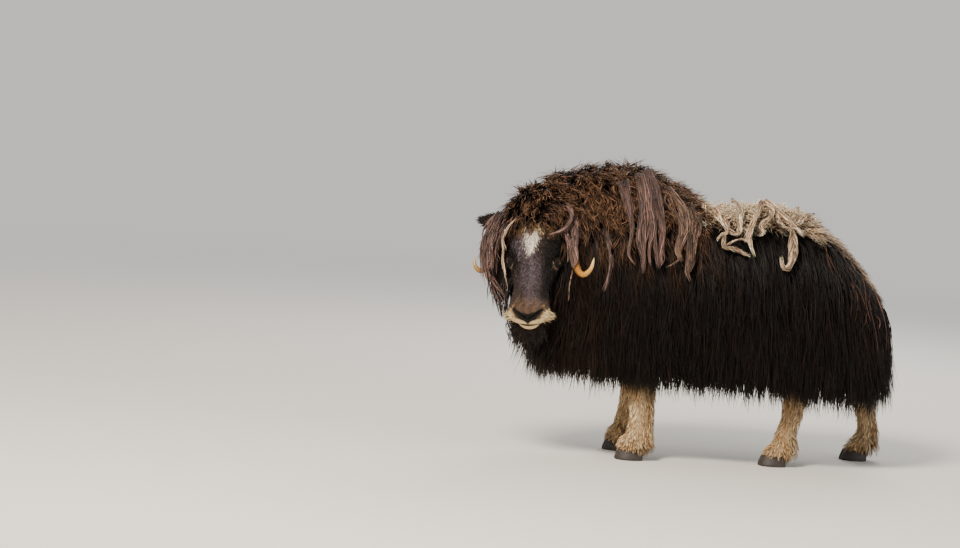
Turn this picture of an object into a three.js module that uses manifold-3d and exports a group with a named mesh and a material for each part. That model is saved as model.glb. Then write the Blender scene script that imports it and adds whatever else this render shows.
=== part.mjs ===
import * as THREE from 'three';
import { mergeVertices } from 'three/addons/utils/BufferGeometryUtils.js';
import Module from 'manifold-3d';

// A standing muskox cow at life size: heavy hump and mane, a long hanging coat, the head turned to its left.
// Millimetres, +Z up. The animal faces -X, its left side is -Y, and its soles stand on z = 0.

const FLOOR_SHIFT = { x: 70, y: 28 };   // moves the animal so that the middle of its box is over the origin
const GAP = 0.3;                        // between two parts that touch
const FITTING_GAP = 1.6 * GAP;          // round what is let into a faceted part
const SKIRT_TIP = 250;                  // height of the hanging coat's lower edge
const BEARD_TIP = 425;                  // height of the beard's longest tips
const LEG_TOP = 540;                    // legs are parted from the trunk at this height, inside the skirt
const HOOF_HEIGHT = 46;
const HEAD_TURN = 63;                   // degrees from straight ahead, towards the animal's left
const HEAD_PITCH = 60;                  // degrees that the face slopes below level
const HEAD_LEAN = 4.5;                  // degrees that the head leans towards its left
const CROWN = new THREE.Vector3(-800, -150, 1040);

// Thin cuts between the parts: each is a plane, given by its normal and its distance from the origin.
const NECK_CUT = { normal: new THREE.Vector3(-1, 0, 0), distance: 600 };
const HEAD_CUT = { normal: new THREE.Vector3(-0.75, -0.661, 0), distance: 590 };
const SHOULDER_CUT = -60;
const FLANK_CUT = 380;

const { sin, cos, abs, sign, min, max, PI, pow } = Math;
const vec = (x, y, z) => new THREE.Vector3(x, y, z);
const along = (origin, ...steps) => steps.reduce((p, [dir, d]) => p.addScaledVector(dir, d), origin.clone());
const radians = degrees => degrees * PI / 180;
const UP = vec(0, 0, 1);

const wasm = await Module();
wasm.setup();

// Seeded random numbers, so that the coat comes out the same each time.
let seed = 20817;
function random(low = 0, high = 1) {
  seed = (seed * 1664525 + 1013904223) >>> 0;
  return low + (high - low) * seed / 4294967296;
}

// A smooth curve through a few [place, value] knots.
function profile(...knots) {
  return x => {
    const last = knots.length - 1;
    if (x <= knots[0][0]) return knots[0][1];
    if (x >= knots[last][0]) return knots[last][1];
    const i = knots.findIndex(k => k[0] > x) - 1;
    const slope = j => {
      const a = knots[max(j - 1, 0)];
      const b = knots[min(j + 1, last)];
      return (b[1] - a[1]) / (b[0] - a[0]);
    };
    const step = knots[i + 1][0] - knots[i][0];
    const t = (x - knots[i][0]) / step;
    return knots[i][1] * (2 * t ** 3 - 3 * t ** 2 + 1) + knots[i + 1][1] * (3 * t ** 2 - 2 * t ** 3)
      + step * (slope(i) * (t ** 3 - 2 * t ** 2 + t) + slope(i + 1) * (t ** 3 - t ** 2));
  };
}

// A closed geometry from rings of equal counts, in order along the body; the ends are closed by fans.
function loft(rings, { startTip = null, endTip = null } = {}) {
  const count = rings[0].length;
  const points = rings.flat();
  const mean = ring => ring.reduce((p, q) => p.add(q), vec(0, 0, 0)).divideScalar(count);
  const start = points.push(startTip ?? mean(rings[0])) - 1;
  const end = points.push(endTip ?? mean(rings[rings.length - 1])) - 1;
  const faces = [];
  for (let k = 0; k < count; k++) {
    const next = (k + 1) % count;
    faces.push(start, next, k);
    const base = (rings.length - 1) * count;
    faces.push(end, base + k, base + next);
    for (let r = 0; r + 1 < rings.length; r++) {
      const a = r * count + k;
      const b = r * count + next;
      faces.push(a, b, b + count, a, b + count, a + count);
    }
  }
  return outward(points, faces);
}

// Turns the faces over where they point in, so that every solid's volume is positive.
function outward(points, faces) {
  let volume = 0;
  for (let i = 0; i < faces.length; i += 3) {
    const [a, b, c] = [points[faces[i]], points[faces[i + 1]], points[faces[i + 2]]];
    volume += a.dot(b.clone().cross(c));
  }
  if (volume < 0) faces.reverse();
  const geometry = new THREE.BufferGeometry();
  geometry.setAttribute('position', new THREE.Float32BufferAttribute(points.flatMap(p => p.toArray()), 3));
  geometry.setIndex(faces);
  return geometry;
}

// An oval ring round a centre: u and v are its half-axis directions, with separate sizes above and below.
function oval(centre, u, v, halfWidth, above, below, count, squareness = 2.2) {
  const power = 2 / squareness;
  const ring = [];
  for (let k = 0; k < count; k++) {
    const angle = 2 * PI * (k + 0.5) / count;
    const across = halfWidth * sign(cos(angle)) * pow(abs(cos(angle)), power);
    const height = (sin(angle) > 0 ? above : below) * sign(sin(angle)) * pow(abs(sin(angle)), power);
    ring.push(along(centre, [u, across], [v, height]));
  }
  return ring;
}

// The corners alone, with those at one place made one.
function welded(geometry, reach = 1e-3) {
  const plain = geometry.clone();
  plain.deleteAttribute('normal');
  plain.deleteAttribute('uv');
  return mergeVertices(plain, reach);
}

// Geometry to solid, and back.
function solid(geometry) {
  const { attributes, index } = welded(geometry);
  const vertProperties = attributes.position.array;
  const triVerts = Uint32Array.from(index.array);
  return new wasm.Manifold(new wasm.Mesh({ numProp: 3, vertProperties, triVerts }));
}

const union = geometries => wasm.Manifold.union(geometries.map(g => (g.isBufferGeometry ? solid(g) : g)));

function surface(body) {
  const mesh = body.getMesh();
  const geometry = new THREE.BufferGeometry();
  geometry.setAttribute('position', new THREE.BufferAttribute(Float32Array.from(mesh.vertProperties), 3));
  geometry.setIndex(Array.from(mesh.triVerts));
  return geometry;
}

function largest(body) {
  return body.decompose().reduce((best, piece) => (piece.volume() > best.volume() ? piece : best));
}

const crossOf = ([a, b, c]) => b.clone().sub(a).cross(c.clone().sub(a));

// A triangle's height over its longest side.
function heightOf([a, b, c]) {
  const longest = max(a.distanceTo(b), b.distanceTo(c), c.distanceTo(a));
  return longest > 0 ? crossOf([a, b, c]).length() / longest : 0;
}

// Whether a point lies on the edge between two corners, within a small distance.
function liesOn(point, a, b, within) {
  if (point.x < min(a.x, b.x) - within || point.x > max(a.x, b.x) + within) return false;
  if (point.y < min(a.y, b.y) - within || point.y > max(a.y, b.y) + within) return false;
  const edge = b.clone().sub(a);
  const t = min(1, max(0, point.clone().sub(a).dot(edge) / edge.lengthSq()));
  return point.distanceTo(along(a, [edge, t])) < within;
}

function cornersOf(geometry) {
  const place = geometry.attributes.position;
  const index = Array.from(geometry.index.array);
  return {
    points: Array.from({ length: place.count }, (_, i) => vec(place.getX(i), place.getY(i), place.getZ(i))),
    faces: Array.from({ length: index.length / 3 }, (_, i) => index.slice(3 * i, 3 * i + 3)),
  };
}

function facesOf(points, faces) {
  const geometry = new THREE.BufferGeometry();
  geometry.setAttribute('position', new THREE.Float32BufferAttribute(points.flatMap(p => p.toArray()), 3));
  geometry.setIndex(faces.flat());
  return geometry;
}

// Cuts leave triangles as thin as lines. Short edges are closed up, and the middle corner of a thin
// triangle is moved a little off its long side.
function withoutSlivers(geometry, shortest = 0.2, thinnest = 0.05) {
  const { points, faces } = cornersOf(geometry);
  const around = points.map(() => new Set());
  faces.forEach((face, i) => face.forEach(corner => around[corner].add(i)));
  const corners = face => face.map(corner => points[corner]);
  const shared = (a, b) => [...around[a]].filter(i => around[b].has(i));
  const neighbours = a => new Set([...around[a]].flatMap(i => faces[i]).filter(corner => corner !== a));

  // Moves corner b onto corner a, unless that would fold the surface or join it to itself.
  function close(a, b) {
    const gone = shared(a, b);
    const common = [...neighbours(a)].filter(corner => neighbours(b).has(corner));
    const kept = [...around[b]].filter(i => !gone.includes(i));
    const folds = kept.some(i => {
      const [before, after] = [corners(faces[i]), faces[i].map(corner => points[corner === b ? a : corner])];
      return heightOf(after) < min(thinnest, heightOf(before))
        || (heightOf(before) > thinnest && crossOf(after).dot(crossOf(before)) <= 0);
    });
    if (gone.length !== 2 || common.length !== 2 || folds) return false;
    gone.forEach(i => {
      faces[i].forEach(corner => around[corner].delete(i));
      faces[i] = null;
    });
    kept.forEach(i => {
      faces[i] = faces[i].map(corner => (corner === b ? a : corner));
      around[a].add(i);
    });
    around[b].clear();
    return true;
  }

  faces.forEach((_, i) => {
    for (let k = 0; k < 3 && faces[i]; k++) {
      const [a, b] = [faces[i][k], faces[i][(k + 1) % 3]];
      if (points[a].distanceTo(points[b]) < shortest && !close(a, b)) close(b, a);
    }
  });
  faces.forEach(face => {
    if (!face || heightOf(corners(face)) > thinnest) return;
    const length = k => points[face[k]].distanceTo(points[face[(k + 1) % 3]]);
    const k = [0, 1, 2].reduce((best, j) => (length(j) > length(best) ? j : best), 0);
    const [a, b, c] = [0, 1, 2].map(j => face[(k + j) % 3]);
    const beyond = shared(a, b).find(i => !faces[i].includes(c));
    const edge = points[b].clone().sub(points[a]).normalize();
    const foot = along(points[a], [edge, points[c].clone().sub(points[a]).dot(edge)]);
    points[c] = along(foot, [crossOf(corners(faces[beyond])).cross(edge).normalize(), -2 * thinnest]);
  });
  return facesOf(points, faces.filter(Boolean));
}

// Where the surface only touches itself, the corner there is drawn a little way in among its own faces.
function drawnApart(geometry, closest = 0.02, move = 0.06) {
  const { points, faces } = cornersOf(geometry);
  const around = points.map(() => []);
  faces.forEach(face => face.forEach(corner => around[corner].push(face)));
  const edges = faces.flatMap(([a, b, c]) => [[a, b], [b, c], [c, a]]).filter(([a, b]) => a < b);
  const touches = i => edges.some(([a, b]) =>
    a !== i && b !== i && liesOn(points[i], points[a], points[b], closest));
  for (const i of points.map((_, i) => i).filter(touches)) {
    const own = [...new Set(around[i].flat())].filter(j => j !== i);
    const pulls = own.map(j => points[j].clone().sub(points[i]).normalize());
    const inward = pulls.reduce((sum, pull) => sum.add(pull), vec(0, 0, 0)).normalize();
    points[i] = along(points[i], [inward, move]);
  }
  return facesOf(points, faces);
}

// A node's geometry: its largest closed surface alone, free of slivers.
function tidied(body, passes = 5) {
  let clean = body;
  for (let pass = 0; pass < passes; pass++) clean = largest(solid(withoutSlivers(surface(clean))));
  return surface(largest(solid(drawnApart(surface(clean)))));
}

// A solid slightly larger all round, cut from whatever lies against it.
function clearance(geometry, grow = FITTING_GAP) {
  const merged = welded(geometry);
  merged.computeVertexNormals();
  const { position, normal } = merged.attributes;
  for (let i = 0; i < position.count; i++) {
    const way = vec(normal.getX(i), normal.getY(i), normal.getZ(i));
    const point = along(vec(position.getX(i), position.getY(i), position.getZ(i)), [way, grow]);
    position.setXYZ(i, point.x, point.y, point.z);
  }
  return solid(merged);
}

// The half of space behind a cut, kept a little short of it.
function behind(body, cut) {
  return body.trimByPlane(cut.normal.clone().negate().toArray(), -(cut.distance - GAP / 2));
}

function beyond(body, cut) {
  return body.trimByPlane(cut.normal.toArray(), cut.distance + GAP / 2);
}

const beforeX = (body, x) => body.trimByPlane([-1, 0, 0], -(x - GAP / 2));
const afterX = (body, x) => body.trimByPlane([1, 0, 0], x + GAP / 2);

const TRUNK_ENDS = [-700, 838];

// The trunk's woolly core: its top line, lower edge, widest height and half width along the body.
const trunkTop = profile([-700, 1030], [-620, 1140], [-520, 1200], [-430, 1215], [-300, 1208], [-170, 1156],
  [-20, 1078], [150, 1074], [290, 1092], [450, 1056], [600, 976], [720, 868], [790, 778], [838, 690]);
// The neck's top line and how far it has bent to the animal's left there.
const neckTop = profile([-820, 1090], [-740, 1136], [-660, 1172], [-600, 1193], [-560, 1203]);
const neckMiddle = profile([-800, -95], [-700, -60], [-600, -15], [-520, 0]);
const trunkBase = profile([-700, 560], [-640, 440], [-540, 395], [-300, 385], [400, 380], [650, 375],
  [760, 380], [838, 440]);
const trunkHalf = profile([-700, 100], [-640, 165], [-520, 215], [-400, 242], [-200, 266], [0, 290],
  [200, 298], [400, 292], [560, 278], [700, 246], [790, 206], [838, 150]);
const trunkWidest = profile([-700, 740], [-400, 720], [400, 690], [838, 600]);

// How square the core's section is: nearly an ellipse above its widest height, boxy below it.
const ABOVE_POWER = 0.92;
const BELOW_POWER = 0.5;

// A point of the core's section at x: turn runs from 0 on the top line to PI under the belly.
function trunkPoint(x, turn, side) {
  const power = cos(turn) > 0 ? ABOVE_POWER : BELOW_POWER;
  const reach = cos(turn) > 0 ? trunkTop(x) - trunkWidest(x) : trunkWidest(x) - trunkBase(x);
  const rise = reach * sign(cos(turn)) * pow(abs(cos(turn)), power);
  return vec(x, side * trunkHalf(x) * pow(sin(turn), power), trunkWidest(x) + rise);
}

function trunkCore() {
  const [start, end] = TRUNK_ENDS;
  const stations = [start, -670, -610, -520, -400, -250, -110, 40, 220, 400, 560, 680, 770, 815, end];
  const sides = 8;
  return loft(stations.map(x => {
    const ring = [];
    for (let k = 0; k < sides; k++) ring.push(trunkPoint(x, PI * (k + 0.5) / sides, 1));
    for (let k = sides - 1; k >= 0; k--) ring.push(trunkPoint(x, PI * (k + 0.5) / sides, -1));
    return ring;
  }));
}

// How far the core reaches from x on its middle plane, at one height and in one level direction.
function coreReach(x, height, way) {
  const inside = distance => {
    const at = x + way.x * distance;
    const above = height > trunkWidest(at);
    const deep = above ? trunkTop(at) - trunkWidest(at) : trunkWidest(at) - trunkBase(at);
    const power = above ? ABOVE_POWER : BELOW_POWER;
    const rise = pow(min(1, abs(height - trunkWidest(at)) / deep), 1 / power);
    const half = trunkHalf(at) * pow(1 - rise * rise, power / 2);
    return at > TRUNK_ENDS[0] && at < TRUNK_ENDS[1] && abs(way.y) * distance < half;
  };
  const stride = 4;
  let distance = 0;
  while (inside(distance)) distance += stride;
  return distance;
}

// Stations along a lock, closer together towards its tip.
const stationAt = (i, steps) => 1 - pow(1 - i / steps, 1.5);

// One lock of coat: flat below, with a low ridge along its outer side, tapering to a point.
function lock(path, { width, thick, facing, root = 0.72 }) {
  const last = path.length - 1;
  const rings = [];
  for (let i = 0; i < last; i++) {
    const t = stationAt(i, last);
    const ahead = path[i + 1].clone().sub(path[max(i - 1, 0)]).normalize();
    const across = facing.clone().cross(ahead).normalize();
    const out = ahead.clone().cross(across).normalize();
    const spread = width / 2 * (t < 0.4 ? root + (1 - root) * t / 0.4 : pow((1 - t) / 0.6, 0.45));
    const depth = thick * (1 - 0.5 * t);
    rings.push([
      along(path[i], [across, spread], [out, -0.3 * depth]),
      along(path[i], [across, -spread], [out, -0.3 * depth]),
      along(path[i], [out, 0.7 * depth]),
    ]);
  }
  return loft(rings, { endTip: path[last] });
}

// How far a lock lies above what it grows from: sunk at its root, and over the next tier's roots at its tip.
const liftAt = (t, lift, sink, rise = 0.3) => (t === 0 ? -sink : lift * (rise + (1 - rise) * t));

// The way a lock of the trunk lies: down over the side, then hanging straight from the widest place.
function coatPath(x, turn, side, { length, lift, sweep, steps = 4, sink = 30, wave = 9, rise }) {
  const path = [];
  const phase = random(0, 2 * PI);
  let angle = turn;
  let point = trunkPoint(x, angle, side);
  let hanging = 0;
  for (let i = 0; i <= steps; i++) {
    const t = stationAt(i, steps);
    const above = trunkPoint(x, max(angle - 0.05, 0.01), side);
    const below = trunkPoint(x, min(angle + 0.05, PI - 0.01), side);
    const down = below.clone().sub(above).normalize();
    const out = angle > PI / 2 - 0.08 ? vec(0, side, 0) : vec(0, -down.z * side, down.y * side);
    const swing = wave * sin(phase + 4.4 * t) * t;
    const shift = sweep * length * pow(t, 1.3) + swing;
    path.push(along(point, [out, liftAt(t, lift, sink, rise)], [vec(1, 0, 0), shift], [UP, -hanging]));
    let left = length * ((rise && i === 0 ? 0.08 : stationAt(i + 1, steps)) - t);
    while (left > 0 && angle < PI / 2 - 0.02) {
      const next = trunkPoint(x, angle + 0.03, side);
      left -= next.distanceTo(point);
      point = next;
      angle += 0.03;
    }
    hanging += max(0, left);
  }
  return path;
}

// The crest: tufts that rise from the midline and fall to either side in turn, over neck and back.
function crestLocks() {
  const locks = [];
  const [neckTufts, neckStart, neckSpacing] = [5, -800, 58];
  const [backTufts, backStart, backSpacing] = [17, -580, 78];
  const overNeck = [[0, 0, -60], [0, 12, 44], [14, 88, 30], [26, 152, -84], [30, 172, -210]];
  const facing = side => vec(0, side, 1).normalize();
  for (let k = 0; k < neckTufts; k++) {
    const x = neckStart + neckSpacing * k;
    const side = k % 2 ? 1 : -1;
    const path = overNeck.map(([back, out, up]) =>
      vec(x + back, neckMiddle(x) + side * out, neckTop(x) + up));
    locks.push(lock(path, { width: random(118, 130), thick: 32, root: 1, facing: facing(side) }));
  }
  for (let k = 0; k < backTufts; k++) {
    const x = backStart + backSpacing * k;
    const side = k % 2 ? 1 : -1;
    const lift = profile([-500, 60], [-200, 54], [0, 38], [700, 30])(x);
    const size = { length: random(270, 310), lift, sweep: 0.16, steps: 3, rise: 0.75, sink: 40 };
    const path = coatPath(x, 0.02, side, size);
    locks.push(lock(path, { width: random(126, 138), thick: 30, root: 1, facing: facing(side) }));
  }
  return locks;
}

// Tiers of locks over hump, shoulders, barrel and rump, from the crest down to the skirt.
function coatLocks() {
  const locks = [];
  const tiers = [
    { turn: 0.46, length: 290, lift: 54, width: 126, thick: 28, steps: 3 },
    { turn: 0.98, length: 310, lift: 50, width: 126, thick: 26, steps: 3 },
    { turn: 1.42, length: 330, lift: 46, width: 126, thick: 24, steps: 3 },
    { turn: 1.78, tip: SKIRT_TIP, lift: 42, width: 144, thick: 24, steps: 3 },
    { turn: 2.20, tip: SKIRT_TIP, lift: 6, width: 144, thick: 20, steps: 2 },
  ];
  const [start, spacing, count] = [-620, 138, 10];
  for (const side of [-1, 1]) {
    tiers.forEach((tier, row) => {
      for (let k = 0; k < count + (row === 3 ? 1 : 0); k++) {
        const place = start + spacing * (k + (row % 2) / 2) + random(-7, 7);
        const turn = tier.turn + random(-0.04, 0.04);
        const root = trunkPoint(place, turn, side);
        const length = tier.tip ? root.z - tier.tip + random(-18, 18) : tier.length * random(0.92, 1.1);
        const sweep = place < -400 ? -0.02 : 0.05 + 0.12 * max(0, place) / 700;
        const lift = tier.lift + (k % 2 ? 8 : -8);
        const path = coatPath(place, turn, side, { length, lift, sweep, steps: tier.steps });
        const facing = vec(0, side, row < 2 ? 1 : 0.25).normalize();
        const width = tier.width * random(0.95, 1.05);
        locks.push(lock(path, { width, thick: tier.thick * random(0.9, 1.1), facing }));
      }
    });
  }
  return locks;
}

// A lock that hangs from a root: out a little, then down, with a slight wave.
function hangingLock(root, out, { length, lift, width, thick = 22, sink = 26, steps = 4, wave = 8 }) {
  const across = out.clone().cross(UP).normalize();
  const phase = random(0, 2 * PI);
  const path = [];
  for (let i = 0; i <= steps; i++) {
    const t = stationAt(i, steps);
    const swing = wave * t * sin(phase + 4.6 * t);
    path.push(along(root, [out, liftAt(t, lift, sink)], [UP, -length * t], [across, swing]));
  }
  return lock(path, { width, thick, facing: out });
}

// The curtain of long hair behind the rump and the apron before the chest, in rows round the core's ends.
// A row is its height, how many locks it has, how far round it spreads in degrees, and its lift.
function endLocks() {
  const locks = [];
  const steps = 3;
  const sink = 40;
  const rumpRows = [[870, 3, 40, 26], [770, 4, 56, 34], [640, 5, 66, 70], [500, 4, 58, 40]];
  const chestRows = [[850, 3, 56, 34], [720, 4, 60, 36], [590, 4, 64, 36], [460, 3, 54, 28]];
  const ends = [
    { middle: 560, ahead: 1, rows: rumpRows },
    { middle: -500, ahead: -1, rows: chestRows },
  ];
  for (const { middle, ahead, rows } of ends) {
    for (const [level, count, spread, lift] of rows) {
      for (let k = 0; k < count; k++) {
        const swing = radians(spread * (2 * k / (count - 1) - 1) + random(-3, 3));
        const root = vec(middle, 0, level + random(-14, 14));
        const length = level > 700 ? 310 : root.z - SKIRT_TIP + random(-18, 18);
        const out = vec(ahead * cos(swing), sin(swing), 0);
        const path = [];
        let reach = 0;
        for (let i = 0; i <= steps; i++) {
          const t = stationAt(i, steps);
          reach = max(reach, coreReach(middle, root.z - length * t, out));
          const flare = (lift + (k % 2 ? 6 : -6)) * (out.x > 0 && out.y < 0 ? 0.6 : 1);
          path.push(along(root, [out, reach + liftAt(t, flare, sink)], [UP, -length * t]));
        }
        locks.push(lock(path, { width: random(120, 134), thick: 22, facing: out }));
      }
    }
  }
  return locks;
}

// Shed underwool: ropes that hang from the hump over the left shoulder, and a tangle on the saddle.
function shedRopes() {
  const locks = [];
  const rope = (x, turn, side, size, width) => {
    const facing = vec(0, side, 0.7).normalize();
    locks.push(lock(coatPath(x, turn, side, size), { width, thick: 24, facing }));
  };
  const [shoulderRopes, shoulderStart, shoulderSpacing] = [7, -360, 48];
  for (let k = 0; k < shoulderRopes; k++) {
    const length = (k < 4 ? 330 : 390) * random(0.9, 1.1);
    const size = { length, lift: 96, sweep: random(-0.04, 0.06), sink: 40, wave: 12 };
    const turn = 0.42 + random(-0.05, 0.05);
    rope(shoulderStart + shoulderSpacing * k, turn, -1, size, random(34, 40));
  }
  const [saddleStart, saddleLength] = [10, 440];
  for (const [side, count] of [[-1, 5], [1, 2]]) {
    for (let k = 0; k < count; k++) {
      const x = saddleStart + saddleLength / count * (k + random(0, 0.3));
      const size = { length: random(200, 290), lift: 92, sweep: random(-0.2, 0.4), sink: 40, wave: 22 };
      rope(x, random(0.14, 0.24), side, size, random(38, 46));
    }
  }
  return locks;
}

// The head's own directions: side is the animal's left, face runs from crown to nose, and front points
// out of the forehead.
const headLevel = vec(-cos(radians(HEAD_TURN)), -sin(radians(HEAD_TURN)), 0);
const levelSide = vec(-headLevel.y, headLevel.x, 0);
const mix = (...steps) => along(vec(0, 0, 0), ...steps);
const levelFace = mix([headLevel, cos(radians(HEAD_PITCH))], [UP, -sin(radians(HEAD_PITCH))]);
const FRONT = mix([headLevel, sin(radians(HEAD_PITCH))], [UP, cos(radians(HEAD_PITCH))]);
const FACE = mix([levelFace, cos(radians(HEAD_LEAN))], [levelSide, sin(radians(HEAD_LEAN))]);
const SIDE = mix([levelSide, cos(radians(HEAD_LEAN))], [levelFace, -sin(radians(HEAD_LEAN))]);
const onHead = (side, face, front) => along(CROWN, [SIDE, side], [FACE, face], [FRONT, front]);
const headWay = (side, face, front) => mix([SIDE, side], [FACE, face], [FRONT, front]).normalize();

// The skull and upper muzzle: half width and depth along the face, and how far the profile dips.
const skullHalf = profile([0, 90], [50, 106], [120, 112], [195, 106], [260, 90], [330, 82], [395, 90],
  [440, 99], [470, 90], [490, 54]);
const skullDepth = profile([0, 150], [50, 195], [120, 212], [195, 200], [260, 165], [330, 125], [395, 96],
  [440, 80], [470, 62], [490, 34]);
const skullDip = profile([0, -12], [50, 6], [120, 6], [195, 0], [330, -5], [440, -8], [470, -15], [490, -32]);

function skull() {
  const stations = [0, 30, 80, 140, 195, 245, 300, 360, 405, 440, 470, 490];
  return loft(stations.map(face => {
    const half = skullDepth(face) / 2;
    return oval(onHead(0, face, skullDip(face) - half), SIDE, FRONT, skullHalf(face), half, half, 14, 2.35);
  }));
}

function jaw() {
  const half = profile([140, 70], [300, 58], [400, 58], [455, 56], [488, 30]);
  const top = profile([140, -90], [300, -78], [400, -82], [488, -86]);
  const base = profile([140, -205], [230, -200], [300, -172], [400, -136], [455, -124], [488, -108]);
  const stations = [140, 220, 310, 395, 455, 488];
  return loft(stations.map(face => {
    const middle = (top(face) + base(face)) / 2;
    const height = (top(face) - base(face)) / 2;
    return oval(onHead(0, face, middle), SIDE, FRONT, half(face), height, height, 10, 2.4);
  }));
}

const EYE = { side: 99, face: 197, front: -68, radius: 20 };
const eyeCentre = side => onHead(side * EYE.side, EYE.face, EYE.front);
const eyeWay = side => headWay(side * 0.8, -0.05, 0.6);

function ball(centre, radius, columns, rows) {
  const geometry = new THREE.SphereGeometry(radius, columns, rows);
  geometry.translate(centre.x, centre.y, centre.z);
  return geometry;
}

// The bony rim round an eye, later opened between the lids.
function orbit(side) {
  const way = eyeWay(side);
  const centre = along(eyeCentre(side), [way, -16]);
  const u = headWay(0, 1, 0);
  const v = way.clone().cross(u).normalize();
  return loft([[0, 50, 42], [22, 44, 37], [34, 33, 28], [41, 20, 17]].map(([out, long, tall]) =>
    oval(along(centre, [way, out]), u, v, long, tall, tall, 10, 2)));
}

// The almond opening between the lids.
function lidOpening(side) {
  const way = eyeWay(side);
  const u = headWay(side * 0.25, 1, 0);
  const v = way.clone().cross(u).normalize();
  return loft([[2, 8, 5], [17, 15, 9], [40, 22, 15]].map(([out, long, tall]) =>
    oval(along(eyeCentre(side), [way, out]), u, v, long, tall, tall, 8, 1.6)));
}

// A nostril: a slit that runs from beside the nose pad inward and down.
function nostril(side) {
  const path = [[64, 452, -12], [50, 466, -14], [34, 480, -22], [18, 490, -30]];
  const sizes = [4, 11, 9, 3];
  const into = headWay(0, -0.75, -0.66);
  const rings = path.map(([across, face, front], i) => {
    const centre = along(onHead(side * across, face, front), [into, 3]);
    const ahead = headWay(side * -16, 12, -5);
    const u = into.clone().cross(ahead).normalize();
    return oval(centre, into, u, sizes[i] + 9, sizes[i] * 0.8, sizes[i] * 0.8, 8, 2);
  });
  return loft(rings);
}

// The line of the mouth: a thin curved wedge between upper lip and jaw.
function mouthLine() {
  const rings = [];
  for (let k = 0; k <= 8; k++) {
    const swing = PI * (k / 8 - 0.5) * 1.1;
    const reach = 118 * cos(swing);
    const centre = onHead(70 * sin(swing) / sin(PI * 0.55), 382 + reach, -88);
    const out = headWay(sin(swing), cos(swing), 0);
    rings.push([along(centre, [out, -22], [FRONT, 1]), along(centre, [out, -22], [FRONT, -1]),
      along(centre, [out, 26], [FRONT, -3.5]), along(centre, [out, 26], [FRONT, 3.5])]);
  }
  return loft(rings);
}

// A horn: down beside the face from the crown, then hooked out and up to its tip.
function horn(side) {
  const route = [[62, 28, -62], [112, 40, -64], [158, 92, -62], [178, 165, -56], [194, 232, -42],
    [212, 280, -20], [232, 290, 6], [250, 268, 28], [257, 228, 40]];
  const thickness = [30, 30, 27, 25, 22, 17, 13, 8.5];
  const points = route.map(([across, face, front]) => onHead(side * across, face, front));
  const rings = thickness.map((radius, i) => {
    const ahead = points[i + 1].clone().sub(points[max(i - 1, 0)]).normalize();
    const u = ahead.clone().cross(FRONT).normalize();
    const v = ahead.clone().cross(u).normalize();
    return oval(points[i], u, v, radius, radius * 0.88, radius * 0.88, 9, 2);
  });
  return loft(rings, { endTip: points[8] });
}

// An ear: a pointed leaf with a cup on its front side.
const EAR = { reach: [104, 132, 168, 204, 236], halves: [17, 30, 35, 31, 21], tip: 266 };
const earCentre = (side, t, reach) => onHead(side * reach, 8 - 36 * t, -104 - 26 * t);

function ear(side) {
  const u = headWay(0, 1, 0.15);
  const v = headWay(side * 0.12, -0.15, 1);
  const rings = EAR.halves.map((half, i) => {
    const centre = earCentre(side, i / 5, EAR.reach[i]);
    const cup = i === 0 ? -0.2 : 0.42;
    return [along(centre, [u, half], [v, half * 0.3]), along(centre, [u, half * 0.5], [v, 3 - half * cup]),
      along(centre, [u, -half * 0.5], [v, 3 - half * cup]), along(centre, [u, -half], [v, half * 0.3]),
      along(centre, [u, -half * 0.62], [v, -half * 0.7]), along(centre, [v, -half * 0.95]),
      along(centre, [u, half * 0.62], [v, -half * 0.7])];
  });
  return loft(rings, { endTip: earCentre(side, 1, EAR.tip) });
}

// The room that the hair leaves round an ear; its inner end lies against the ear's root.
function earRoom(side) {
  const u = headWay(0, 1, 0.15);
  const v = headWay(side * 0.12, -0.15, 1);
  const rings = EAR.halves.map((half, i) => {
    const centre = earCentre(side, i / 5, EAR.reach[i] - (i === 0 ? GAP : 0));
    return oval(centre, u, v, half + 10, half * 0.6 + 8, half + 7, 8, 2);
  });
  rings.push(oval(earCentre(side, 1.1, EAR.tip + 30), u, v, 22, 22, 22, 8, 2));
  return loft(rings);
}

// The woolly pad on the crown, half as high as the hair that grows from it.
const PATE = { height: 124, radius: 96 };
const pateBase = onHead(0, 24, -62);

function pate() {
  const sizes = [[-60, 0.8], [0, 1], [60, 0.92], [100, 0.66], [PATE.height, 0.28]];
  return loft(sizes.map(([height, scale]) => {
    const centre = along(pateBase, [UP, height]);
    return oval(centre, levelSide, headLevel, PATE.radius * scale, 74 * scale, 80 * scale, 12, 2);
  }));
}

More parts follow.
